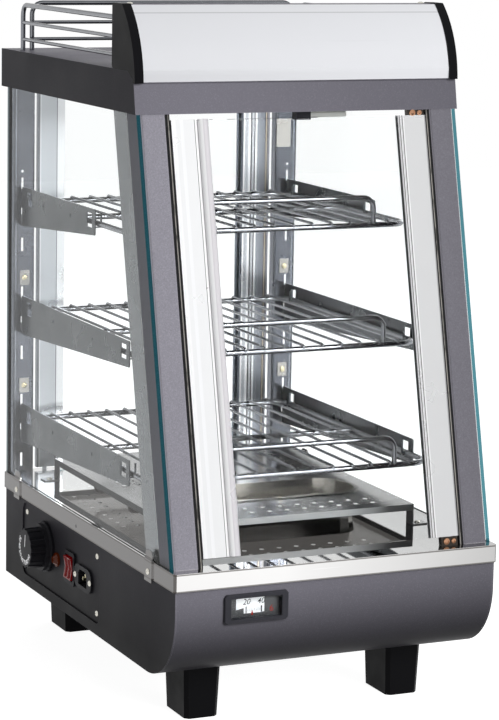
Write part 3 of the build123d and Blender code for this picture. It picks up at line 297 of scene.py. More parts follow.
def worn_edges_effect():
    """Mask of the rubbed band along sharp edges, broken up by fine noise."""
    group, enter, leave = new_effect("Worn edges", "Mask", Radius=0.5 * MM, Scale=160.0)
    soft = add_node(group, "Bevel", Radius=enter["Radius"])
    soft.samples = 4
    sharp = add_node(group, "NewGeometry")
    same = dot(group, soft.outputs["Normal"], sharp.outputs["Normal"])
    turned = add_node(group, "MapRange", Value=same, From_Min=0.995, From_Max=0.93)
    broken = maths(group, "MULTIPLY", turned.outputs["Result"], noise(group, enter, enter["Vector"]))
    group.links.new(broken, leave)


class Finish:
    """One material: a Principled shader with effects that feed its colour, roughness and bump."""

    def __init__(self, name, colour, roughness, metallic=0.0):
        self.material = bpy.data.materials.new(name)
        FINISHES[name] = self.material
        self.material.use_nodes = True
        self.tree = self.material.node_tree
        self.shader = self.tree.nodes["Principled BSDF"]
        self.coords = self.add("TexCoord").outputs["Object"]
        self.colour = (*colour, 1.0)
        self.set(Base_Color=self.colour, Roughness=roughness, Metallic=metallic)
        self.material.diffuse_color = self.colour
        self.material.metallic = metallic
        self.material.roughness = roughness

    def add(self, kind, **inputs):
        """New node in this material."""
        return add_node(self.tree, kind, **inputs)

    def set(self, **values):
        """Sets or links sockets of the shader."""
        fill(self.tree, self.shader, values)
        return self

    def effect(self, group, **values):
        """What a shared effect gives in this material with its own values."""
        node = self.tree.nodes.new("ShaderNodeGroup")
        node.node_tree = bpy.data.node_groups[group]
        return fill(self.tree, node, {"Vector": self.coords, **values}).outputs[0]

    def mixed(self, mask, under, over, kind="MIX"):
        """Mix of two colours by a mask."""
        mix = self.add("Mix")
        mix.data_type = "RGBA"
        mix.blend_type = kind
        # The colour mode of this node has its sockets at 0, 6 and 7, and its result at 2
        for index, value in ((0, mask), (6, under), (7, over)):
            connect(self.tree, value, mix.inputs[index])
        return mix.outputs[2]

    def tint(self, mask, colour, amount=1.0, kind="MIX"):
        """Mixes a colour over the present one where the mask is on."""
        strength = self.spread(mask, 0.0, amount)
        self.colour = self.mixed(strength, self.colour, (*colour, 1.0), kind)
        return self.set(Base_Color=self.colour)

    def shade(self, mask, level):
        """Darkens the colour to a share of itself where the mask is on."""
        return self.tint(mask, (level, level, level), 1.0, "MULTIPLY")

    def both(self, one, other):
        """Mask of what two masks share."""
        return maths(self.tree, "MULTIPLY", one, other)

    def size(self, value):
        """Value without its sign."""
        return maths(self.tree, "ABSOLUTE", value)

    def glow(self, mask, colour):
        """Emission of a colour where the mask is on."""
        light = self.mixed(mask, (0.0, 0.0, 0.0, 1.0), (*colour, 1.0))
        return self.set(Emission_Color=light, Emission_Strength=1.0)

    def spread(self, value, low, high, start=0.0, end=1.0):
        """Maps a value onto a range."""
        mapped = self.add(
            "MapRange", Value=value, From_Min=start, From_Max=end, To_Min=low, To_Max=high
        )
        return mapped.outputs["Result"]

    def rough(self, value, low, high, start=0.3, end=0.7):
        """Roughness that varies with a value."""
        return self.set(Roughness=self.spread(value, low, high, start, end))

    def bump(self, height, distance, strength):
        """Bump of a distance in millimetres."""
        node = self.add("Bump", Height=height, Distance=distance * MM, Strength=strength)
        return self.set(Normal=node.outputs["Normal"])

    def clouded(self, scale, colour, amount, low, high):
        """Soft clouds of another colour that also vary the roughness."""
        clouds = self.effect("Soft clouds", Scale=scale)
        self.tint(clouds, colour, amount)
        self.rough(clouds, low, high)
        return clouds

    def textured(self, effect, scale, distance, strength):
        """Bump from a shared effect."""
        return self.bump(self.effect(effect, Scale=scale), distance, strength)

    def wear(self, colour, amount, width=None):
        """Rubbed edges, with a width in millimetres where it isn't the common one."""
        radius = sizes().edge_wear if width is None else width * MM
        return self.tint(self.effect("Worn edges", Radius=radius), colour, amount)

    def place(self, axis):
        """Place on one axis of the object, in metres."""
        return self.add("SeparateXYZ", Vector=self.coords).outputs[axis]

    def around(self, value, centre, width, soft):
        """Mask of the values that lie within a width round a centre."""
        gap = self.size(maths(self.tree, "SUBTRACT", value, centre))
        return self.spread(gap, 1.0, 0.0, width / 2 - soft, width / 2 + soft)

    def band(self, axis, centre, width, soft=0.2):
        """Mask of a band across one axis, in millimetres off the tray middle or the ground."""
        return self.around(self.place(axis), (ORIGIN[axis] + centre) * MM, width * MM, soft * MM)

    def slope(self, axis, start, end):
        """Mask that rises from 0 to 1 between two places on one axis, in the same millimetres."""
        start, end = (ORIGIN[axis] + start) * MM, (ORIGIN[axis] + end) * MM
        return self.spread(self.place(axis), 0.0, 1.0, start, end)

    def turned(self, direction, centre, width, soft):
        """Mask of the parts of round surfaces that are turned by one amount from a direction."""
        normal = self.add("NewGeometry").outputs["Normal"]
        return self.around(self.size(dot(self.tree, normal, direction)), centre, width, soft)

    def towards(self, direction):
        """How far each face looks along a direction, in the object's own directions."""
        to_object = self.add("VectorTransform", Vector=self.add("NewGeometry").outputs["True Normal"])
        to_object.vector_type = "NORMAL"
        to_object.convert_from = "WORLD"
        to_object.convert_to = "OBJECT"
        return dot(self.tree, to_object.outputs["Vector"], direction)

    def looks(self, direction, limit=0.7, soft=0.03):
        """Mask of the faces that look one way."""
        return self.spread(self.towards(direction), 0.0, 1.0, limit - soft, limit + soft)

    def facing(self, direction, limit=0.7, soft=0.02):
        """Mask of the faces that look along a direction or against it."""
        return self.spread(self.size(self.towards(direction)), 0.0, 1.0, limit - soft, limit + soft)

    def beside(self, direction, limit=0.5, soft=0.02):
        """Mask of the faces that look neither along a direction nor against it."""
        return self.spread(self.size(self.towards(direction)), 1.0, 0.0, limit - soft, limit + soft)


# Finishes


def shell_paint(name, lift=1.0):
    """Dark metallic paint, with painted shade low down, on its end faces and towards the right."""
    colour = scaled(colours().shell_paint, lift)
    paint = Finish(name, colour, 0.45)
    paint.clouded(9.0, scaled(colour, 0.82), 0.5, 0.36, 0.50)
    paint.tint(paint.effect("Paint flake", Scale=1900.0, Share=0.88), scaled(colour, 1.5), 0.4)
    # Painted shade: darker towards the bottom of the shell
    paint.shade(paint.slope("Z", 142, 72), 0.13)
    # Painted shade on the end faces that look to the sides
    paint.shade(paint.facing(X_AXIS), 0.45)
    # Painted shade that grows towards the right
    paint.shade(paint.slope("X", -100, 180), 0.7)
    paint.wear(scaled(colour, 2.2, 0.02), 0.6)
    paint.textured("Sprayed texture", 900.0, 0.02, 0.4)
    paint.set(Specular_IOR_Level=0.035)


def post_paint():
    """Speckled metallic paint with rubbed edges that also carry a painted highlight, painted light on its
    left faces and painted shade towards the right.
    """
    colour = colours().post_paint
    paint = Finish("post_paint", colour, 0.45)
    paint.tint(paint.effect("Paint flake", Scale=1100.0, Share=0.75), scaled(colour, 1.5), 0.3)
    paint.tint(paint.effect("Paint flake", Scale=1400.0, Share=0.82), scaled(colour, 0.6), 0.3)
    # Painted light on the faces that look to the left
    paint.tint(paint.looks(LEFT), scaled(colour, 2.6), 0.95)
    # Painted shade that grows towards the right
    paint.shade(paint.slope("X", -150, 165), 0.56)
    # Pale rubbed edges, which also serve as a painted highlight along the edges of the posts
    paint.wear((0.62, 0.60, 0.62), 0.9, 0.9)
    paint.rough(paint.effect("Soft clouds", Scale=12.0), 0.38, 0.52)
    paint.textured("Sprayed texture", 900.0, 0.02, 0.3)
    paint.set(Specular_IOR_Level=0.15)


def tray_steel():
    """Mirror of the floor tray, with painted shade on its side skirts and towards the right, and lines of
    painted shade at the top and bottom of its skirt.
    """
    colour = colours().tray_steel
    steel = Finish("tray_steel", colour, 0.12, 1.0)
    steel.clouded(14.0, scaled(colour, 0.85), 0.4, 0.01, 0.035)
    steel.tint(steel.effect("Hair scratches", Scale=7.0, Sparsity=0.74), (0.8, 0.8, 0.8), 0.35)
    # Painted shade on the side skirts, which are darker than the front one
    steel.tint(steel.facing(X_AXIS, 0.5), (0.112, 0.108, 0.106), 0.97)
    # Painted shade that grows towards the right
    steel.shade(steel.slope("X", -60, 175), 0.6)
    # Lines of painted shade just below the top edge of the skirt and along its foot
    for height, width in ((TRAY_HIGH.z - 1.1, 1.3), (TRAY_LOW.z + 0.6, 1.2)):
        steel.tint(steel.band("Z", height, width), (0.05, 0.042, 0.036), 0.75)
    # Brown edge wear, which also paints dark outlines of shade along the edges of the clips
    steel.wear((0.09, 0.07, 0.055), 0.9, 0.7)
    steel.textured("Drawn across", 24.0, 0.002, 0.05)


def satin_steel(name, colour, low, high, drawn="Drawn across"):
    """Drawn metal with clouds, hair scratches and brighter edges."""
    steel = Finish(name, colour, (low + high) / 2, 1.0)
    steel.clouded(22.0, scaled(colour, 0.78), 0.5, low, high)
    steel.tint(steel.effect("Hair scratches", Scale=9.0, Sparsity=0.72), scaled(colour, 1.2), 0.15)
    steel.wear(scaled(colour, 1.7), 0.7)
    return steel.textured(drawn, 30.0, 0.02, 0.12)


def bench_steel():
    """Platform steel: painted shade with a painted glow below, painted light on its front and back faces
    and its folded lip, and painted shade on its side faces.
    """
    steel = satin_steel("bench_steel", (0.25, 0.25, 0.25), 0.10, 0.2)
    # Painted light on the faces that look to the front or the back, such as the folded lip, with a little
    # painted shade towards the right
    across = steel.facing(Y_AXIS)
    steel.tint(across, (0.44, 0.44, 0.445), 0.95)
    steel.shade(steel.both(across, steel.slope("X", 20, 140)), 0.95)
    # Painted shade on the faces that look to the sides
    steel.tint(steel.facing(X_AXIS), (0.16, 0.16, 0.165), 0.95)
    # Painted shade under the platform, with a painted glow so that it shows in the mirror of the tray
    under = steel.looks(DOWN)
    steel.tint(under, (0.05, 0.047, 0.044), 0.95)
    steel.glow(under, (0.095, 0.090, 0.086))
    upright = steel.beside(Z_AXIS)
    steel.set(Metallic=steel.spread(upright, 1.0, 0.0), Specular_IOR_Level=0.05)


def pan_steel():
    """Warm pan steel, with painted shade on the outside below the platform and underneath."""
    steel = satin_steel("pan_steel", (0.36, 0.345, 0.315), 0.10, 0.2)
    # Painted shade on the front faces of the pan below the platform
    outer = steel.both(steel.looks(FRONT), steel.slope("Y", -40, -60))
    steel.tint(outer, (0.028, 0.027, 0.026), 0.95)
    # Painted shade on the faces that look down
    steel.tint(steel.looks(DOWN), (0.03, 0.029, 0.028), 0.95)


def bracket_steel():
    """Plain bracket sheet, dull beside the bright wires."""
    steel = Finish("bracket_steel", (0.068, 0.075, 0.081), 0.3, 1.0)
    steel.clouded(22.0, (0.055, 0.061, 0.066), 0.5, 0.24, 0.38)
    steel.wear((0.12, 0.13, 0.138), 0.7)
    steel.textured("Drawn across", 30.0, 0.005, 0.06)


def rear_post_steel():
    """Post steel with lines of painted highlight and painted shade along its folds."""
    steel = satin_steel("rear_post_steel", (0.145, 0.155, 0.18), 0.16, 0.3, "Drawn upright")
    # Painted highlights and painted shade in lines along the folds of each post
    for side in (-1, 1):
        for place, width, colour in (
            (167.6, 0.8, (0.04, 0.045, 0.05)),
            (165.8, 1.2, (0.36, 0.38, 0.42)),
            (164.0, 0.7, (0.05, 0.055, 0.06)),
            (145.0, 0.9, (0.34, 0.36, 0.39)),
        ):
            steel.tint(steel.band("X", side * place, width), colour, 0.8)


def bright_face(name, colour, scale, dim, light):
    """Pale face that gives off a little light, so that it reads clearly in the dark."""
    face = Finish(name, colour, 0.4)
    clouds = face.clouded(scale, dim, 0.4, 0.3, 0.5)
    face.glow(clouds, light)


def chrome_wire():
    """Chrome with a painted dark reflection along each side of the rods."""
    colour = colours().chrome
    chrome = Finish("chrome_wire", colour, 0.1, 1.0)
    chrome.clouded(60.0, scaled(colour, 0.6), 0.8, 0.06, 0.2)
    # Painted dark reflection on the sides of the rods, between their top and bottom
    chrome.tint(chrome.turned(Z_AXIS, 0.74, 0.36, 0.12), (0.022, 0.025, 0.031), 0.97)
    chrome.textured("Sprayed texture", 380.0, 0.12, 0.3)


def door_profile(name, colour, node, side, metallic, bands):
    """Drawn aluminium with grooves and faces of different brightness, which are painted highlights and
    painted shade.

    The bands are counted in millimetres from the low (0) or high (1) end of a CAD part.
    """
    metal = Finish(name, colour, 0.3, metallic)
    edge = box_mm(node)[side].x - CASE_X
    metal.clouded(16.0, scaled(colour, 0.93), 0.4, 0.26, 0.34)
    # The bands paint highlights on lit faces and shade on faces turned away and in the grooves
    for start, end, shade in bands:
        metal.tint(metal.band("X", edge + (start + end) / 2, end - start, 0.15), shade, 0.95)
    metal.textured("Drawn upright", 44.0, 0.005, 0.1)


def door_profiles():
    """Profiles at the two upright edges of each door."""
    aluminium = colours().aluminium
    door_profile(
        "handle_aluminium", aluminium, "front_door_handle", 0, 0.5,
        (
            (-1.0, 4.5, (0.86, 0.86, 0.87)),
            (9.0, 12.5, (0.84, 0.845, 0.86)),
            (24.0, 24.7, (0.10, 0.10, 0.11)),
            (24.7, 31.0, (0.90, 0.90, 0.91)),
            (31.0, 37.7, (0.66, 0.64, 0.67)),
            (37.7, 39.0, (0.16, 0.16, 0.17)),
        ),
    )
    # The hinge strip takes a darker copy of the handle aluminium, as painted shade
    door_profile(
        "hinge_aluminium", scaled(aluminium, 0.76), "front_door_hinge_strip", 1, 0.5,
        (
            (-32.0, -29.4, (0.52, 0.52, 0.53)),
            (-29.4, -28.4, (0.06, 0.06, 0.065)),
            (-28.4, -26.6, (0.86, 0.86, 0.87)),
            (-26.6, -25.6, (0.08, 0.08, 0.085)),
            (-25.6, -24.2, (0.80, 0.80, 0.81)),
            (-1.2, 1.0, (0.30, 0.30, 0.31)),
        ),
    )
    door_profile(
        "rear_profile_chrome", (0.42, 0.44, 0.48), "rear_door_handle", 0, 0.9,
        (
            (-1.0, 6.0, (0.17, 0.19, 0.23)),
            (6.0, 8.0, (0.95, 0.95, 0.96)),
            (8.0, 12.0, (0.50, 0.52, 0.56)),
            (12.0, 15.0, (0.92, 0.93, 0.95)),
            (15.0, 16.6, (0.04, 0.045, 0.05)),
            (16.6, 19.4, (0.55, 0.57, 0.60)),
            (19.4, 20.6, (0.03, 0.03, 0.035)),
            (20.6, 23.0, (0.90, 0.91, 0.93)),
            (23.0, 27.0, (0.28, 0.30, 0.33)),
            (27.0, 32.5, (0.20, 0.215, 0.25)),
            (32.5, 33.5, (0.03, 0.03, 0.03)),
            (33.5, 35.0, (0.42, 0.36, 0.28)),
            (35.0, 36.2, (0.05, 0.05, 0.055)),
            (36.2, 40.0, (0.22, 0.225, 0.25)),
        ),
    )
    door_profile(
        "rear_hinge_chrome", (0.52, 0.55, 0.58), "rear_door_hinge_strip", 1, 0.9,
        (
            (-32.0, -28.6, (0.14, 0.15, 0.17)),
            (-28.6, -27.4, (0.74, 0.75, 0.77)),
            (-9.4, -8.4, (0.16, 0.17, 0.19)),
            (-8.4, 1.0, (0.86, 0.88, 0.90)),
        ),
    )


def gasket_rubber():
    """Soft black profile with pale worn lips."""
    rubber = Finish("gasket_rubber", (0.012, 0.012, 0.013), 0.6)
    clouds = rubber.effect("Soft clouds", Scale=34.0)
    for x in (-141.0, 141.0):
        rubber.tint(rubber.band("X", x, 0.9, 0.3), (0.42, 0.40, 0.37), 0.8)
    rubber.tint(rubber.spread(clouds, 0.0, 1.0, 0.5, 0.62), (0.02, 0.02, 0.02), 0.8)
    rubber.rough(clouds, 0.5, 0.75)
    rubber.textured("Sprayed texture", 500.0, 0.1, 0.5)
    rubber.set(Specular_IOR_Level=0.1)


def clear_pane(name, direction=None, lit_edge=False):
    """Clear float glass. Lamps and matt bounces pass straight through.

    The edges of a pane that faces the given direction are green. The lit edge is for the side panes:
    it has a painted glow along the front and painted shade at the back.
    """
    pane = Finish(name, (0.985, 0.995, 0.995), 0.0)
    pane.set(Transmission_Weight=1.0, IOR=1.1)
    green = scaled(colours().glass_edge, 0.22)
    if direction:
        pane.tint(pane.beside(direction), green, 1.0)
    if lit_edge:
        # Painted glow along the front edge of the side panes
        pane.glow(pane.both(pane.looks(DOOR_FACE, 0.9), pane.slope("Y", 55.1, -44.9)), green)
        # Painted shade on the back edge of the side panes
        back = pane.both(pane.facing(Y_AXIS, 0.9), pane.slope("Y", 5.1, 105.1))
        pane.tint(back, (0.02, 0.03, 0.034), 1.0)
    pane.rough(pane.effect("Soft clouds", Scale=6.0), 0.0, 0.012, 0.45, 0.75)
    path = pane.add("LightPath").outputs
    soft = maths(pane.tree, "MAXIMUM", path["Is Shadow Ray"], path["Is Diffuse Ray"])
    clear = pane.add("BsdfTransparent", Color=(0.93, 0.95, 0.95, 1.0))
    mix = pane.add("MixShader")
    pane.tree.links.new(soft, mix.inputs[0])
    pane.tree.links.new(pane.shader.outputs["BSDF"], mix.inputs[1])
    pane.tree.links.new(clear.outputs["BSDF"], mix.inputs[2])
    pane.tree.links.new(mix.outputs["Shader"], pane.tree.nodes["Material Output"].inputs["Surface"])


def black_moulding(name, low, high, lift):
    """Sprayed black plastic."""
    colour = scaled(colours().moulding, lift)
    plastic = Finish(name, colour, (low + high) / 2)
    plastic.clouded(26.0, scaled(colour, 1.6), 0.4, low, high)
    plastic.wear(scaled(colour, 3.0, 0.02), 0.6)
    plastic.textured("Sprayed texture", 1100.0, 0.05, 0.5)
    plastic.set(Specular_IOR_Level=0.045)


def gloss_plastic(name, colour, glow=0.0):
    """Glossy coloured plastic that may give off a little of its own colour."""
    plastic = Finish(name, colour, 0.18)
    clouds = plastic.clouded(90.0, scaled(colour, 0.55), 0.5, 0.12, 0.26)
    plastic.wear(scaled(colour, 1.6, 0.03), 0.5, 0.4)
    plastic.bump(clouds, 0.04, 0.3)
    if glow:
        plastic.set(Emission_Color=(*colour, 1.0), Emission_Strength=glow)
    plastic.set(Coat_Weight=0.15, Coat_Roughness=0.08, Specular_IOR_Level=0.15)


def sign_acrylic():
    """White acrylic of the sign, with a thin shadow line below its top edge."""
    colour = colours().sign_white
    acrylic = Finish("sign_acrylic", colour, 0.2)
    acrylic.clouded(7.0, scaled(colour, 0.96), 0.5, 0.14, 0.24)
    acrylic.tint(acrylic.effect("Hair scratches", Scale=5.0, Sparsity=0.77), scaled(colour, 0.93), 0.3)
    top = box_mm("sign_panel")[1].z
    acrylic.tint(acrylic.band("Z", top - 7.5, 0.9), scaled(colour, 0.55), 0.7)
    acrylic.wear((0.9, 0.9, 0.92), 0.5)
    acrylic.set(Coat_Weight=0.25, Coat_Roughness=0.05)


def enamel(name, colour, low=0.3, high=0.45):
    """Sprayed enamel or printing ink."""
    coat = Finish(name, colour, (low + high) / 2)
    coat.clouded(11.0, scaled(colour, 0.88), 0.5, low, high)
    coat.wear(scaled(colour, 1.1), 0.5)
    coat.textured("Sprayed texture", 500.0, 0.05, 0.4)


def heated_steel():
    """Brown scaled steel of the heating element."""
    steel = Finish("heated_steel", (0.20, 0.185, 0.17), 0.42, 0.9)
    steel.clouded(38.0, (0.09, 0.07, 0.06), 0.8, 0.32, 0.55)
    steel.textured("Sprayed texture", 650.0, 0.1, 0.4)


def finish(name):
    """Finish by its name, which must not be one of the plain CAD materials."""
    if name not in FINISHES:
        raise RuntimeError(f"finish {name} has not been made")
    return FINISHES[name]


def dress(finish_name, slot, *nodes):
    """Gives CAD parts a finish."""
    for node in nodes:
        part = NODES[node]
        if not part.material_slots:
            raise RuntimeError(f"part {node} has no material slot")
        for place in part.material_slots:
            place.material = finish(finish_name)


# Mesh makers


def mesh_piece(name, mesh, body, finish_name):
    """Puts a mesh in the scene as a piece that rides on a body."""
    piece = bpy.data.objects.new(name, mesh)
    bpy.context.collection.objects.link(piece)
    piece.data.materials.append(finish(finish_name))
    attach(piece, body)
    return piece


def finished_mesh(name, work):
    """Mesh from a bmesh, shaded smooth except across sharp edges."""
    bmesh.ops.recalc_face_normals(work, faces=work.faces)
    work.normal_update()
    for face in work.faces:
        face.smooth = True
    for edge in work.edges:
        if len(edge.link_faces) == 2:
            edge.smooth = edge.calc_face_angle(0.0) < math.radians(35.0)
    mesh = bpy.data.meshes.new(name)
    work.to_mesh(mesh)
    work.free()
    return mesh


def solid_piece(name, work, body, finish_name):
    """Puts what a bmesh holds in the scene as one piece."""
    return mesh_piece(name, finished_mesh(name, work), body, finish_name)


def bend_points(points, radii, steps=6):
    """Path points with each corner rounded to its radius in millimetres."""
    count = len(points)
    path = []
    for index, corner in enumerate(points):
        radius = radii[index] * MM
        if radius <= 0:
            path.append(corner)
            continue
        back = (points[index - 1] - corner).normalized()
        ahead = (points[(index + 1) % count] - corner).normalized()
        half = back.angle(ahead) / 2
        centre = corner + (back + ahead).normalized() * (radius / math.sin(half))
        start = corner + back * (radius / math.tan(half)) - centre
        end = corner + ahead * (radius / math.tan(half)) - centre
        sweep = start.angle(end)
        for step in range(steps + 1):
            part = step / steps
            arm = start * math.sin((1 - part) * sweep) + end * math.sin(part * sweep)
            path.append(centre + arm / math.sin(sweep))
    return path


def rod_piece(name, rods, body, finish_name):
    """Round rods as one curve. Each rod is its path, its thickness and whether it closes."""
    curve = bpy.data.curves.new(name, "CURVE")
    curve.dimensions = "3D"
    curve.bevel_depth = MM
    curve.bevel_resolution = sizes().rod_smoothness
    curve.use_fill_caps = True
    for path, thickness, closed in rods:
        spline = curve.splines.new("POLY")
        spline.points.add(len(path) - 1)
        for point, place in zip(spline.points, path):
            point.co = (*place, 1.0)
            point.radius = thickness / 2
        spline.use_cyclic_u = closed
        spline.use_smooth = True
    return mesh_piece(name, curve, body, finish_name)


def lathe(work, profile, segments, place):
    """Turns a profile of (radius, height) in millimetres round an axis, and closes both ends."""
    rings = []
    for radius, height in profile:
        ring = []
        for segment in range(segments):
            angle = 2 * math.pi * segment / segments
            spot = Vector((radius * math.cos(angle), radius * math.sin(angle), height)) * MM
            ring.append(work.verts.new(place @ spot))
        rings.append(ring)
    for low, high in zip(rings, rings[1:]):
        for segment in range(segments):
            after = (segment + 1) % segments
            work.faces.new((low[segment], low[after], high[after], high[segment]))
    work.faces.new(list(reversed(rings[0])))
    work.faces.new(rings[-1])


def block(work, low, high, place, bevel=0.0):
    """Small block between two corners, with its bevel, in millimetres."""
    verts = bmesh.ops.create_cube(work, size=1.0)["verts"]
    middle = (Vector(low) + Vector(high)) / 2 * MM
    span = (Vector(high) - Vector(low)) * MM
    for vert in verts:
        vert.co = vert.co * span + middle
    if bevel > 0:
        edges = list({edge for vert in verts for edge in vert.link_edges})
        made = bmesh.ops.bevel(
            work, geom=edges, offset=bevel * MM, segments=2, profile=0.6, affect="EDGES"
        )
        kept = {vert for vert in verts if vert.is_valid}
        verts = list({vert for face in made["faces"] for vert in face.verts} | kept)
    bmesh.ops.transform(work, matrix=place, verts=verts)


def looking(direction, origin):
    """Placement with its height along a direction and its width along the level."""
    out = Vector(direction).normalized()
    up = Vector(Z_AXIS) if abs(out.z) < 0.9 else Vector(Y_AXIS)
    across = up.cross(out).normalized()
    rise = out.cross(across)
    turn = Matrix((across, rise, out)).transposed().to_4x4()
    return Matrix.Translation(origin) @ turn


def spun(degrees):
    """Turn about the height."""
    return Matrix.Rotation(math.radians(degrees), 4, "Z")


def plate(work, outline, low, high, place):
    """Thin plate with a drawn outline, in millimetres."""
    under = [work.verts.new(place @ (Vector((x, y, low)) * MM)) for x, y in outline]
    over = [work.verts.new(place @ (Vector((x, y, high)) * MM)) for x, y in outline]
    work.faces.new(list(reversed(under)))
    work.faces.new(over)
    for index in range(len(outline)):
        after = (index + 1) % len(outline)
        work.faces.new((under[index], under[after], over[after], over[index]))


def text_mesh(words, height, place, depth=0.08, slant=0.0, weight=0.0):
    """Mesh of numerals lying on a surface, with sizes in millimetres."""
    curve = bpy.data.curves.new("numeral_" + words, "FONT")
    curve.body = words
    # A figure of this typeface stands 0.7 of its size high
    curve.size = height * MM / 0.7
    curve.align_x = "CENTER"
    curve.align_y = "CENTER"
    curve.extrude = depth * MM
    curve.shear = slant
    curve.offset = weight * MM
    curve.resolution_u = 3
    holder = bpy.data.objects.new("numeral_" + words, curve)
    bpy.context.collection.objects.link(holder)
    bpy.context.view_layer.update()
    mesh = bpy.data.meshes.new_from_object(holder)
    mesh.transform(place)
    bpy.data.objects.remove(holder)
    bpy.data.curves.remove(curve)
    return mesh


def islands(node):
    """Boxes of the separate solids in a CAD part, in millimetres."""
    work = bmesh.new()
    work.from_mesh(NODES[node].data)
    bmesh.ops.remove_doubles(work, verts=work.verts, dist=1e-6)
    work.verts.ensure_lookup_table()
    seen = set()
    boxes = []
    for vert in work.verts:
        if vert.index in seen:
            continue
        stack = [vert]
        low = vert.co.copy()
        high = vert.co.copy()
        seen.add(vert.index)
        while stack:
            current = stack.pop()
            low = Vector(map(min, low, current.co))
            high = Vector(map(max, high, current.co))
            for edge in current.link_edges:
                other = edge.other_vert(current)
                if other.index not in seen:
                    seen.add(other.index)
                    stack.append(other)
        boxes.append((low / MM, high / MM))
    work.free()
    return boxes


def joined(name, meshes):
    """One mesh from several."""
    work = bmesh.new()
    for mesh in meshes:
        work.from_mesh(mesh)
        bpy.data.meshes.remove(mesh)
    mesh = bpy.data.meshes.new(name)
    work.to_mesh(mesh)
    work.free()
    return mesh


# Operators


class CASE_OT_finishes(bpy.types.Operator):
    """Make the shared effects and all the finishes of the case"""

    bl_idname = "display_case.finishes"
    bl_label = "Finishes"

    def execute(self, context):
        noise_effect("Soft clouds", "Value", 20.0, None, Detail=3.0, Roughness=0.55)
        noise_effect("Sprayed texture", "Height", 700.0, None, Detail=2.0)
        for name, stretch in (("Drawn across", (2.0, 60.0, 60.0)), ("Drawn upright", (60.0, 60.0, 2.0))):
            noise_effect(name, "Height", 60.0, stretch, Detail=4.0, Roughness=0.7)
        flake_effect()
        scratches_effect()
        worn_edges_effect()
        self.metals()
        self.plastics()
        return {"FINISHED"}

    def metals(self):
        """Painted, plated and bare metals."""
        shell_paint("shell_paint")
        shell_paint("plate_paint", 1.02)
        post_paint()
        tray_steel()
        bench_steel()
        rear_post_steel()
        bracket_steel()
        pan_steel()
        satin_steel("liner_satin", (0.15, 0.16, 0.168), 0.22, 0.34, "Drawn upright")
        for name, colour, low, high in (
            ("pivot_steel", (0.055, 0.046, 0.04), 0.2, 0.34),
            ("pivot_bronze", (0.46, 0.25, 0.15), 0.16, 0.3),
            ("screw_zinc", (0.62, 0.60, 0.54), 0.18, 0.32),
            ("plate_zinc", (0.42, 0.41, 0.39), 0.22, 0.36),
            ("pin_brass", (0.72, 0.66, 0.46), 0.16, 0.26),
        ):
            satin_steel(name, colour, low, high)
        chrome_wire()
        door_profiles()
        heated_steel()

    def plastics(self):
        """Glass, mouldings, rubber, print and enamel."""
        clear_pane("side_pane_glass", X_AXIS, lit_edge=True)
        clear_pane("front_pane_glass", DOOR_FACE)
        clear_pane("rear_pane_glass", Y_AXIS)
        clear_pane("lens_glass")
        black_moulding("black_moulding", 0.3, 0.45, 4.6)
        black_moulding("foot_moulding", 0.42, 0.58, 0.45)
        black_moulding("cap_moulding", 0.34, 0.46, 0.6)
        gasket_rubber()
        gloss_plastic("rocker_red", colours().rocker_red, 0.15)
        gloss_plastic("rocker_shade_red", (0.06, 0.002, 0.003))
        gloss_plastic("lamp_amber", colours().lamp_amber, 0.1)
        gloss_plastic("pointer_red", (0.5, 0.02, 0.01))
        sign_acrylic()
        # Discs of painted light for the holes, and white print with a painted glow
        bright_face("hole_light", (0.8, 0.8, 0.79), 40.0, (0.55, 0.55, 0.55), (0.9, 0.9, 0.9))
        bright_face("print_with_painted_glow", (0.85, 0.85, 0.86), 300.0, (0.6, 0.6, 0.62), (0.75, 0.75, 0.77))
        enamel("ceiling_enamel", (0.72, 0.71, 0.69))
        # Black print, also used for dark discs of painted shade in holes
        enamel("black_print_and_shade", (0.02, 0.02, 0.022))
        enamel("dial_grey", (0.07, 0.07, 0.074), 0.35, 0.5)
        enamel("tube_frost", (0.86, 0.86, 0.83), 0.35, 0.5)


class CASE_OT_shell(bpy.types.Operator):
    """Paint the base, the top housing and the feet"""

    bl_idname = "display_case.shell"
    bl_label = "Shell and feet"

    def execute(self, context):
        dress(
            "shell_paint", "grey_paint",
            "base_wrap", "left_side_panel", "right_side_panel", "top_cover", "front_fascia",
        )
        dress("plate_paint", "grey_paint", "control_plate")
        dress(
            "foot_moulding", "black_plastic",
            "foot_front_left", "foot_front_right", "foot_rear_left", "foot_rear_right",
        )
        return {"FINISHED"}


class CASE_OT_tray(bpy.types.Operator):
    """Polish the floor tray and paint the small hole in its left skirt as a dark disc of shade"""

    bl_idname = "display_case.tray"
    bl_label = "Floor tray"

    def execute(self, context):
        dress("tray_steel", "polished_steel", "floor_tray", "glass_clips")
        # The hole is a dark disc of painted shade on the skirt
        work = bmesh.new()
        sunk = 0.1
        hole = at(TRAY_LOW.x - CASE_X + sunk, 18.0, 157.0)
        lathe(work, [(1.9, 0.0), (1.9, 0.12), (1.2, 0.14)], 16, looking(LEFT, hole))
        solid_piece("tray_side_hole", work, "case", "black_print_and_shade")
        return {"FINISHED"}


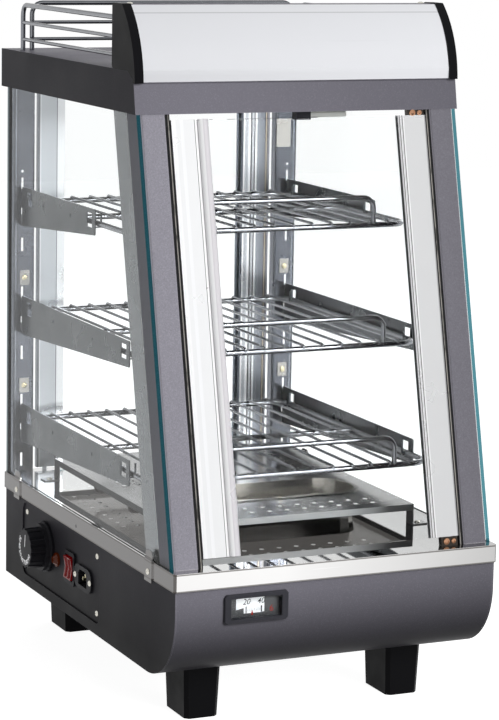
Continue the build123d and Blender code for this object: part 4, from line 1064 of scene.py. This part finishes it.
class CASE_OT_posts(bpy.types.Operator):
    """Dress the posts, their liners and their small plates"""

    bl_idname = "display_case.posts"
    bl_label = "Posts"

    def execute(self, context):
        dress("post_paint", "grey_paint", "front_post_left", "front_post_right")
        dress("rear_post_steel", "post_steel", "rear_post_left", "rear_post_right")
        dress("plate_zinc", "post_steel", "post_plates")
        dress("liner_satin", "liner_aluminium", "post_liners")
        self.plate_screws()
        return {"FINISHED"}

    def plate_screws(self):
        """Brass screws with a raised cross in the small lock plates, but not in the tall cover plate."""
        work = bmesh.new()
        tall = 24.0
        for low, high in islands("post_plates"):
            if high.z - low.z > tall:
                continue
            face = looking(FRONT, Vector(((low.x + high.x) / 2, low.y, (low.z + high.z) / 2)) * MM)
            lathe(work, [(3.3, 0.0), (3.2, 0.5), (2.4, 1.1), (1.9, 1.15)], 20, face)
            for turn in (35, 125):
                block(work, (-1.9, -0.4, 1.1), (1.9, 0.4, 1.5), face @ spun(turn), 0.1)
        solid_piece("plate_screws", work, "case", "pin_brass")


class CASE_OT_glass(bpy.types.Operator):
    """Give every pane clear glass with green edges"""

    bl_idname = "display_case.glass"
    bl_label = "Glass"

    def execute(self, context):
        dress("side_pane_glass", "clear_glass", "side_glass_left", "side_glass_right")
        dress("front_pane_glass", "clear_glass", "front_door_glass")
        dress("rear_pane_glass", "clear_glass", "rear_door_glass")
        return {"FINISHED"}


class CASE_OT_brackets(bpy.types.Operator):
    """Dress the shelf brackets and add their rivet heads"""

    bl_idname = "display_case.brackets"
    bl_label = "Brackets"

    def execute(self, context):
        work = bmesh.new()
        below_top = 14.0
        for level in ("bottom", "middle", "top"):
            for side, outward in (("left", -1), ("right", 1)):
                name = f"bracket_{level}_{side}"
                dress("bracket_steel", "polished_steel", name)
                low, high = box_mm(name)
                face = low.x if side == "left" else high.x
                for share in (0.32, 0.68):
                    y = low.y + (high.y - low.y) * share
                    place = looking((outward, 0, 0), Vector((face, y, high.z - below_top)) * MM)
                    lathe(work, [(2.2, 0.0), (2.0, 0.45), (1.3, 0.75), (0.3, 0.85)], 14, place)
        solid_piece("bracket_rivets", work, "case", "bracket_steel")
        return {"FINISHED"}


class CASE_OT_shelves(bpy.types.Operator):
    """Build the three wire shelves from round rods and hooked wires"""

    bl_idname = "display_case.shelves"
    bl_label = "Wire shelves"

    def execute(self, context):
        rod = sizes().shelf_rod / MM
        wire = sizes().shelf_wire / MM
        guard = sizes().shelf_guard / MM
        guard_half = 113.0
        wire_pitch = 21.5
        for level in ("bottom", "middle", "top"):
            name = f"shelf_{level}"
            low, high = box_mm(name)
            half = (high.x - low.x) / 2 - rod / 2
            front = low.y - CASE_Y + rod / 2
            rear = high.y - CASE_Y - rod / 2
            middle = (front + rear) / 2
            z = low.z + rod / 2
            top = high.z - guard / 2
            rim = [at(-half, front, z), at(half, front, z), at(half, rear, z), at(-half, rear, z)]
            fence = [
                at(-guard_half, front, z), at(-guard_half, front, top),
                at(guard_half, front, top), at(guard_half, front, z),
            ]
            rods = [
                (bend_points(rim, [20, 20, 13, 13]), rod, True),
                ([at(-half, middle, z), at(half, middle, z)], rod, False),
                (bend_points(fence, [0, 12, 12, 0]), guard, False),
            ]
            # The wires lie on the rods, a little pressed in, and bend down over the rim at both ends
            lift = z + (rod + wire) / 2 - 0.5
            foot = z + 0.6
            near = front - rod / 2 + wire / 2 - 0.2
            far = rear + rod / 2 - wire / 2 + 0.2
            for index in range(-6, 7):
                x = index * wire_pitch
                hook = [at(x, near, foot), at(x, near, lift), at(x, far, lift), at(x, far, foot)]
                rods.append((bend_points(hook, [0, 2, 2, 0]), wire, False))
            shelf = rod_piece(f"wire_{name}", rods, name, "chrome_wire")
            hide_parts(name)
        return {"FINISHED"}


class CASE_OT_bench(bpy.types.Operator):
    """Dress the platform and pan, and build the round heating element"""

    bl_idname = "display_case.bench"
    bl_label = "Platform, pan and element"

    def execute(self, context):
        dress("bench_steel", "polished_steel", "platform")
        dress("pan_steel", "polished_steel", "water_pan")
        self.holes()
        rod = sizes().element_rod / MM
        inset = rod / 2 + 0.1
        low, high = box_mm("heating_element")
        top = high.z - inset
        left = low.x - CASE_X + inset
        right = high.x - CASE_X - inset
        front = low.y - CASE_Y + inset
        rear = high.y - CASE_Y - inset
        corners = [
            at(left, front, low.z), at(left, front, top), at(right, front, top),
            at(right, rear, top), at(left, rear, top), at(left, rear, low.z),
        ]
        path = bend_points(corners, [0, 5, 14, 14, 5, 0])
        rods = [(path, rod, False)]
        element = rod_piece("round_element", rods, "case", "heated_steel")
        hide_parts("heating_element")
        return {"FINISHED"}

    def holes(self):
        """Rims of painted shade and discs of painted light for the small holes round the pan, above and
        below the sheet.
        """
        top = box_mm("platform")[1].z
        sheet = 1.0
        row_pitch, rows = 19.4, (-122.5, -104.7)
        column_pitch, column_start, columns = 18.5, 36.0, (-113.0, 113.0)
        spots = [(index * row_pitch, y) for y in rows for index in range(-5, 6)]
        spots += [(x, column_start + index * column_pitch) for index in range(9) for x in columns]
        rims = bmesh.new()
        lights = bmesh.new()
        for x, y in spots:
            for direction, height in ((Z_AXIS, top), (DOWN, top - sheet)):
                place = looking(direction, at(x, y, height))
                lathe(rims, [(3.3, 0.0), (3.1, 0.12)], 16, place)
                lathe(lights, [(2.6, 0.1), (2.5, 0.2)], 16, place)
        # Dark rims of painted shade and glowing discs of painted light that shows through the holes
        solid_piece("hole_shade_rims", rims, "case", "black_print_and_shade")
        solid_piece("hole_lights", lights, "case", "hole_light")


class CASE_OT_rails(bpy.types.Operator):
    """Build the guard rails on the roof from round rods"""

    bl_idname = "display_case.rails"
    bl_label = "Roof rails"

    def execute(self, context):
        rod = sizes().rail_rod / MM
        wire = sizes().rail_wire / MM
        for side in ("left", "right", "rear"):
            name = f"guard_rail_{side}"
            low, high = box_mm(name)
            top = high.z - rod / 2
            if side == "rear":
                y = (low.y + high.y) / 2 - CASE_Y
                start = (low.x - CASE_X + rod / 2, y)
                end = (high.x - CASE_X - rod / 2, y)
            else:
                x = (low.x + high.x) / 2 - CASE_X
                start = (x, low.y - CASE_Y + rod / 2)
                end = (x, high.y - CASE_Y - rod / 2)
            hoop = [at(*start, low.z), at(*start, top), at(*end, top), at(*end, low.z)]
            rods = [(bend_points(hoop, [0, 12, 12, 0]), rod, False)]
            for rise in (12.0, 30.0):
                rods.append(([at(*start, low.z + rise), at(*end, low.z + rise)], wire, False))
            rail = rod_piece(f"round_{name}", rods, "case", "chrome_wire")
            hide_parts(name)
        return {"FINISHED"}


class CASE_OT_screws(bpy.types.Operator):
    """Build pan-head screws with cross recesses where the CAD has its screws"""

    bl_idname = "display_case.screws"
    bl_label = "Screws"

    def template(self):
        """One screw head, standing on the origin, with its cross recess cut in."""
        here = Matrix.Identity(4)
        work = bmesh.new()
        profile = [(3.2, 0.0), (3.15, 0.4), (2.7, 1.0), (1.9, 1.4), (0.9, 1.58), (0.1, 1.6)]
        lathe(work, profile, 24, here)
        head = bpy.data.objects.new("screw_head", finished_mesh("screw_head", work))
        for wide, deep in ((2.0, 0.36), (0.36, 2.0)):
            work = bmesh.new()
            block(work, (-wide, -deep, 0.7), (wide, deep, 3.0), here)
            cutter = bpy.data.objects.new("screw_cut", finished_mesh("screw_cut", work))
            bpy.context.collection.objects.link(cutter)
            cut = head.modifiers.new("Recess", "BOOLEAN")
            cut.object = cutter
            cut.solver = "EXACT"
        bpy.context.collection.objects.link(head)
        bpy.context.view_layer.update()
        graph = bpy.context.evaluated_depsgraph_get()
        mesh = bpy.data.meshes.new_from_object(head.evaluated_get(graph))
        for cut in list(head.modifiers):
            bpy.data.objects.remove(cut.object)
        bpy.data.objects.remove(head)
        return mesh

    def execute(self, context):
        template = self.template()
        head_height = 1.6
        overlap = 0.1
        meshes = []
        for index, (low, high) in enumerate(islands("screws")):
            span = high - low
            axis = min(range(3), key=lambda i: span[i])
            tip = (low + high) / 2
            # Heads look up, or outward from the middle of the case
            outward = 1.0 if axis == 2 or tip.x > CASE_X else -1.0
            out = Vector((0, 0, 0))
            out[axis] = outward
            tip[axis] = high[axis] if outward > 0 else low[axis]
            copy = template.copy()
            copy.transform(looking(out, (tip - out * head_height) * MM) @ spun(17 + 41 * index))
            meshes.append(copy)
            if span[axis] > head_height + overlap:
                work = bmesh.new()
                length = span[axis] - head_height + overlap
                lathe(work, [(1.4, 0.0), (1.4, length)], 12, looking(out, (tip - out * span[axis]) * MM))
                meshes.append(finished_mesh("screw_shank", work))
        bpy.data.meshes.remove(template)
        screws = joined("cross_screws", meshes)
        piece = mesh_piece("cross_screws", screws, "case", "screw_zinc")
        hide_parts("screws")
        return {"FINISHED"}


class CASE_OT_controls(bpy.types.Operator):
    """Dress the controls and add numerals, rocker ridges and inlet pins"""

    bl_idname = "display_case.controls"
    bl_label = "Controls"

    def execute(self, context):
        dress(
            "black_moulding", "black_plastic",
            "thermostat", "switch_body", "power_inlet", "thermostat_knob",
        )
        dress("lamp_amber", "amber_plastic", "indicator_lamp")
        dress("rocker_red", "red_plastic", "power_rocker")
        self.numerals()
        self.ridges()
        self.pins()
        return {"FINISHED"}

    def numerals(self):
        """White numerals round the knob's face, and its pointer line."""
        knob_face = box_mm("thermostat_knob")[0].x - CASE_X
        face = looking(LEFT, at(knob_face, 118.0, 112.0))
        radius = 15.6
        first, step = 152, 30
        meshes = []
        for index, words in enumerate(("30", "40", "50", "60", "70", "80", "90")):
            degrees = first + step * index
            angle = math.radians(degrees)
            spot = Vector((radius * math.cos(angle), radius * math.sin(angle), -0.06)) * MM
            place = face @ Matrix.Translation(spot) @ spun(degrees + 90)
            meshes.append(text_mesh(words, sizes().numeral / MM, place, weight=0.16))
        work = bmesh.new()
        block(work, (-0.8, 1.5, -0.1), (0.8, 15.0, 0.02), face @ spun(-7), 0.05)
        meshes.append(finished_mesh("knob_line", work))
        marks = joined("knob_numerals", meshes)
        # The numerals and pointer line glow a little with painted light
        mesh_piece("knob_numerals", marks, "thermostat_knob", "print_with_painted_glow")

    def ridges(self):
        """Two raised ribs that follow the dip of the rocker, and lines of painted shade beside them."""
        low, high = box_mm("power_rocker")
        middle = (low + high) / 2
        reach = (high.z - low.z) / 2 - 1.6
        rods = []
        lines = []
        for offset in (-4.6, 4.4):
            path = []
            for step in range(-6, 7):
                share = step / 6
                dip = 2.3 - 1.9 * abs(share) ** 1.2
                path.append(Vector((low.x + dip, middle.y + offset, middle.z + share * reach)) * MM)
            rods.append((path, 3.4, False))
            # Thin dark lines of painted shade along both sides of each rib
            for side in (-1.9, 1.9):
                lines.append(([point + Vector((-0.2, side, 0.0)) * MM for point in path], 0.5, False))
        rod_piece("rocker_ribs", rods, "power_rocker", "rocker_red")
        rod_piece("rocker_shade_lines", lines, "power_rocker", "rocker_shade_red")

    def pins(self):
        """Three flat contact pins in the inlet."""
        low, high = box_mm("power_inlet")
        middle = (low + high) / 2
        work = bmesh.new()
        for along, rise in ((-7.0, -1.5), (0.0, 2.5), (7.0, -1.5)):
            root = Vector((low.x + 3.0, middle.y + along, middle.z + rise)) * MM
            block(work, (0.0, -1.0, -2.0), (15.0, 1.0, 2.0), Matrix.Translation(root), 0.4)
        solid_piece("inlet_pins", work, "case", "pin_brass")


class CASE_OT_thermometer(bpy.types.Operator):
    """Dress the dial thermometer and add its printed scale"""

    bl_idname = "display_case.thermometer"
    bl_label = "Dial thermometer"

    def execute(self, context):
        dress("black_moulding", "black_plastic", "thermometer_housing")
        dress("lens_glass", "clear_glass", "thermometer_lens")
        recess = 7.0
        face_y = box_mm("thermometer_housing")[0].y + recess
        face = looking(FRONT, Vector((CASE_X, face_y, 0.0)) * MM)
        work = bmesh.new()
        block(work, (-115.0, 119.4, 0.0), (-62.0, 139.6, 0.05), face, 0.01)
        solid_piece("dial_ground", work, "case", "dial_grey")
        outline = [
            (-107.7, 126.8), (-99.6, 128.4), (-99.5, 122.8), (-80.0, 122.8),
            (-79.8, 123.2), (-77.9, 123.2), (-77.9, 138.6), (-107.7, 139.4),
        ]
        work = bmesh.new()
        plate(work, outline, 0.05, 0.12, face)
        # The card glows a little with painted light
        solid_piece("dial_card", work, "case", "print_with_painted_glow")
        self.printing(face)
        self.pointer()
        return {"FINISHED"}

    def printing(self, face):
        """Two numbers, two heavy marks and the fine marks between them, and a red figure."""
        meshes = []
        for words, x in (("20", -97.0), ("40", -81.6)):
            place = face @ Matrix.Translation(Vector((x, 134.0, 0.14)) * MM)
            meshes.append(text_mesh(words, 5.6, place, 0.06, 0.22, 0.05))
        ticks = [(-97.1, 0.55, 122.9, 129.6), (-80.9, 0.75, 123.0, 129.4)]
        for index in range(1, 9):
            ticks.append((-97.1 + 1.8 * index, 0.16, 124.6, 126.6 + index % 2))
        work = bmesh.new()
        for x, half, bottom, top in ticks:
            block(work, (x - half, bottom, 0.1), (x + half, top, 0.16), face)
        meshes.append(finished_mesh("dial_ticks", work))
        marks = joined("dial_print", meshes)
        mesh_piece("dial_print", marks, "case", "black_print_and_shade")
        place = face @ Matrix.Translation(Vector((-70.2, 125.6, 0.1)) * MM)
        figure = text_mesh("6", 6.2, place, 0.04)
        mesh_piece("dial_red_mark", figure, "case", "pointer_red")

    def pointer(self):
        """Short needle that shows below the card, with a pointed red tip."""
        low, high = box_mm("thermometer_pointer")
        middle = (low.x + high.x) / 2
        outline = [
            (middle + 1.0, low.z), (middle + 2.0, low.z), (middle + 2.0, low.z + 2.4),
            (middle + 1.2, low.z + 4.6), (middle + 0.4, low.z + 2.4), (middle + 0.4, low.z),
        ]
        work = bmesh.new()
        plate(work, outline, 0.25, 0.6, looking(FRONT, Vector((0.0, low.y + 1.0, 0.0)) * MM))
        needle = solid_piece("dial_needle", work, "thermometer_pointer", "pointer_red")
        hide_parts("thermometer_pointer")


class CASE_OT_doors(bpy.types.Operator):
    """Dress the door profiles, gaskets and pivot blocks"""

    bl_idname = "display_case.doors"
    bl_label = "Doors"

    def execute(self, context):
        dress("handle_aluminium", "door_aluminium", "front_door_handle")
        dress("rear_profile_chrome", "door_aluminium", "rear_door_handle")
        dress("hinge_aluminium", "door_aluminium", "front_door_hinge_strip")
        dress("rear_hinge_chrome", "door_aluminium", "rear_door_hinge_strip")
        dress("gasket_rubber", "black_rubber", "front_door_gaskets")
        dress("pivot_steel", "polished_steel", "front_pivot_blocks")
        self.bushings()
        return {"FINISHED"}

    def bushings(self):
        """Bronze bushings and washers on the faces of the pivot blocks."""
        work = bmesh.new()
        for low, high in islands("front_pivot_blocks"):
            for share, radius in ((0.30, 3.4), (0.74, 2.6)):
                x = low.x + (high.x - low.x) * share
                place = looking(FRONT, Vector((x, low.y + 0.6, (low.z + high.z) / 2)) * MM)
                profile = [
                    (radius, 0.0), (radius, 0.5), (radius - 0.6, 0.9),
                    (radius - 1.4, 0.9), (radius - 1.6, 0.3),
                ]
                lathe(work, profile, 20, place)
        solid_piece("pivot_bushings", work, "case", "pivot_bronze")


class CASE_OT_sign(bpy.types.Operator):
    """Dress the sign box, its lamps and the cabin lamp"""

    bl_idname = "display_case.sign"
    bl_label = "Sign and lamps"

    def execute(self, context):
        dress("sign_acrylic", "white_acrylic", "sign_panel")
        low, high = box_mm("sign_panel")
        bottom = box_mm("sign_back")[0].z + 0.6
        work = bmesh.new()
        block(
            work, (low.x, low.y - 0.45, bottom), (high.x, low.y + 0.1, low.z + 0.3),
            Matrix.Identity(4), 0.15,
        )
        solid_piece("sign_lip", work, "case", "sign_acrylic")
        dress("cap_moulding", "black_plastic", "sign_cap_left", "sign_cap_right")
        dress("shell_paint", "grey_paint", "sign_back")
        dress("ceiling_enamel", "white_paint", "ceiling_panel")
        dress("tube_frost", "lamp_glass", "lamp_tubes")
        dress("black_moulding", "black_plastic", "lamp_holders")
        return {"FINISHED"}


class CASE_OT_stage(bpy.types.Operator):
    """Set up the pale floor, the soft lights and the camera"""

    bl_idname = "display_case.stage"
    bl_label = "Studio"

    def execute(self, context):
        self.world()
        self.floor()
        self.lights()
        self.camera()
        context.scene.view_settings.view_transform = "Standard"
        return {"FINISHED"}

    def seen_white(self, tree):
        """1 for rays that show the background: camera, gloss and glass."""
        path = add_node(tree, "LightPath").outputs
        seen = maths(tree, "MAXIMUM", path["Is Camera Ray"], path["Is Glossy Ray"])
        return maths(tree, "MAXIMUM", seen, path["Is Transmission Ray"])

    def world(self):
        """White where it is seen, and a weak even light on matt surfaces."""
        world = bpy.data.worlds.new("studio_world")
        bpy.context.scene.world = world
        world.use_nodes = True
        tree = world.node_tree
        level = add_node(
            tree, "MapRange", Value=self.seen_white(tree), To_Min=studio().ambient, To_Max=1.0
        )
        fill(tree, tree.nodes["Background"], {"Color": WHITE, "Strength": level.outputs["Result"]})

    def floor(self):
        """Pale matt floor that looks as white as the world."""
        half = studio().floor_size / 2
        work = bmesh.new()
        corners = ((-half, -half), (half, -half), (half, half), (-half, half))
        work.faces.new([work.verts.new((x, y, 0.0)) for x, y in corners])
        mesh = bpy.data.meshes.new("studio_floor")
        work.to_mesh(mesh)
        work.free()
        floor = bpy.data.objects.new("studio_floor", mesh)
        bpy.context.collection.objects.link(floor)
        material = bpy.data.materials.new("studio_floor")
        material.use_nodes = True
        tree = material.node_tree
        fill(tree, tree.nodes["Principled BSDF"], {
            "Base Color": (0.45, 0.45, 0.45, 1.0),
            "Roughness": 0.9,
            "Specular IOR Level": 0.0,
            "Emission Color": WHITE,
            "Emission Strength": maths(tree, "MULTIPLY", self.seen_white(tree), 0.96),
        })
        mesh.materials.append(material)

    def lights(self):
        """Three large square lights aimed at the middle of the case."""
        aim = at(0, 0, 330)
        for name, power, size, place in (
            ("key_light", studio().key_power, 1.8, (0.95, -2.75, 1.6)),
            ("fill_light", studio().fill_power, 1.6, (2.3, 1.7, 1.5)),
            ("top_light", studio().top_power, 1.8, (0.2, 0.3, 2.6)),
        ):
            lamp = bpy.data.lights.new(name, "AREA")
            lamp.shape = "SQUARE"
            lamp.size = size
            lamp.energy = power
            holder = bpy.data.objects.new(name, lamp)
            bpy.context.collection.objects.link(holder)
            holder.location = place
            holder.visible_glossy = False
            holder.rotation_euler = (aim - Vector(place)).to_track_quat("-Z", "Y").to_euler()

    def camera(self):
        """Camera solved from the straight edges of the case in the photo."""
        yaw, pitch, roll = (math.radians(degrees) for degrees in (24.09, 8.70, 0.96))
        place = at(-1133.61, -2516.86, 808.75)
        focal, centre_x, centre_y = 2675.69, 233.67, 301.95
        middle_x, middle_y, picture = 249.5, 360.0, 720.0
        film = 36.0
        level = math.cos(pitch)
        ahead = Vector((math.sin(yaw) * level, math.cos(yaw) * level, -math.sin(pitch)))
        right = Vector((math.cos(yaw), -math.sin(yaw), 0.0))
        up = right.cross(ahead)
        across = right * math.cos(roll) + up * math.sin(roll)
        rise = up * math.cos(roll) - right * math.sin(roll)
        lens = bpy.data.cameras.new("studio_camera")
        lens.sensor_fit = "AUTO"
        lens.sensor_width = film
        lens.lens = focal * film / picture
        lens.shift_x = (middle_x - centre_x) / picture
        lens.shift_y = (centre_y - middle_y) / picture
        lens.clip_end = 50.0
        camera = bpy.data.objects.new("studio_camera", lens)
        bpy.context.collection.objects.link(camera)
        turn = Matrix((across, rise, -ahead)).transposed().to_4x4()
        camera.matrix_world = Matrix.Translation(place) @ turn
        bpy.context.scene.camera = camera


class CASE_PT_panel(bpy.types.Panel):
    """Steps that dress the display case, in order"""

    bl_idname = "CASE_PT_panel"
    bl_label = "Display Case"
    bl_space_type = "VIEW_3D"
    bl_region_type = "UI"
    bl_category = "Display Case"

    def draw(self, context):
        layout = self.layout
        for operator in OPERATORS:
            layout.operator(operator.bl_idname)
        for group in (context.scene.case_sizes, context.scene.case_colours, context.scene.case_studio):
            box = layout.box()
            for name in group.__annotations__:
                box.prop(group, name)


OPERATORS = (
    CASE_OT_finishes,
    CASE_OT_shell,
    CASE_OT_tray,
    CASE_OT_posts,
    CASE_OT_glass,
    CASE_OT_brackets,
    CASE_OT_shelves,
    CASE_OT_bench,
    CASE_OT_rails,
    CASE_OT_screws,
    CASE_OT_controls,
    CASE_OT_thermometer,
    CASE_OT_doors,
    CASE_OT_sign,
    CASE_OT_stage,
)
CLASSES = (CaseSizes, CaseColours, StudioSettings, *OPERATORS, CASE_PT_panel)


def register():
    """Adds the classes and the settings to Blender."""
    for cls in CLASSES:
        bpy.utils.register_class(cls)
    bpy.types.Scene.case_sizes = PointerProperty(type=CaseSizes)
    bpy.types.Scene.case_colours = PointerProperty(type=CaseColours)
    bpy.types.Scene.case_studio = PointerProperty(type=StudioSettings)


def unregister():
    """Takes the settings and the classes out again."""
    del bpy.types.Scene.case_studio
    del bpy.types.Scene.case_colours
    del bpy.types.Scene.case_sizes
    for cls in reversed(CLASSES):
        bpy.utils.unregister_class(cls)


def main():
    """Dresses the case step by step."""
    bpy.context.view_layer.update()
    register()
    bpy.ops.display_case.finishes()
    bpy.ops.display_case.shell()
    bpy.ops.display_case.tray()
    bpy.ops.display_case.posts()
    bpy.ops.display_case.glass()
    bpy.ops.display_case.brackets()
    bpy.ops.display_case.shelves()
    bpy.ops.display_case.bench()
    bpy.ops.display_case.rails()
    bpy.ops.display_case.screws()
    bpy.ops.display_case.controls()
    bpy.ops.display_case.thermometer()
    bpy.ops.display_case.doors()
    bpy.ops.display_case.sign()
    bpy.ops.display_case.stage()


if __name__ == "__main__":
    main()
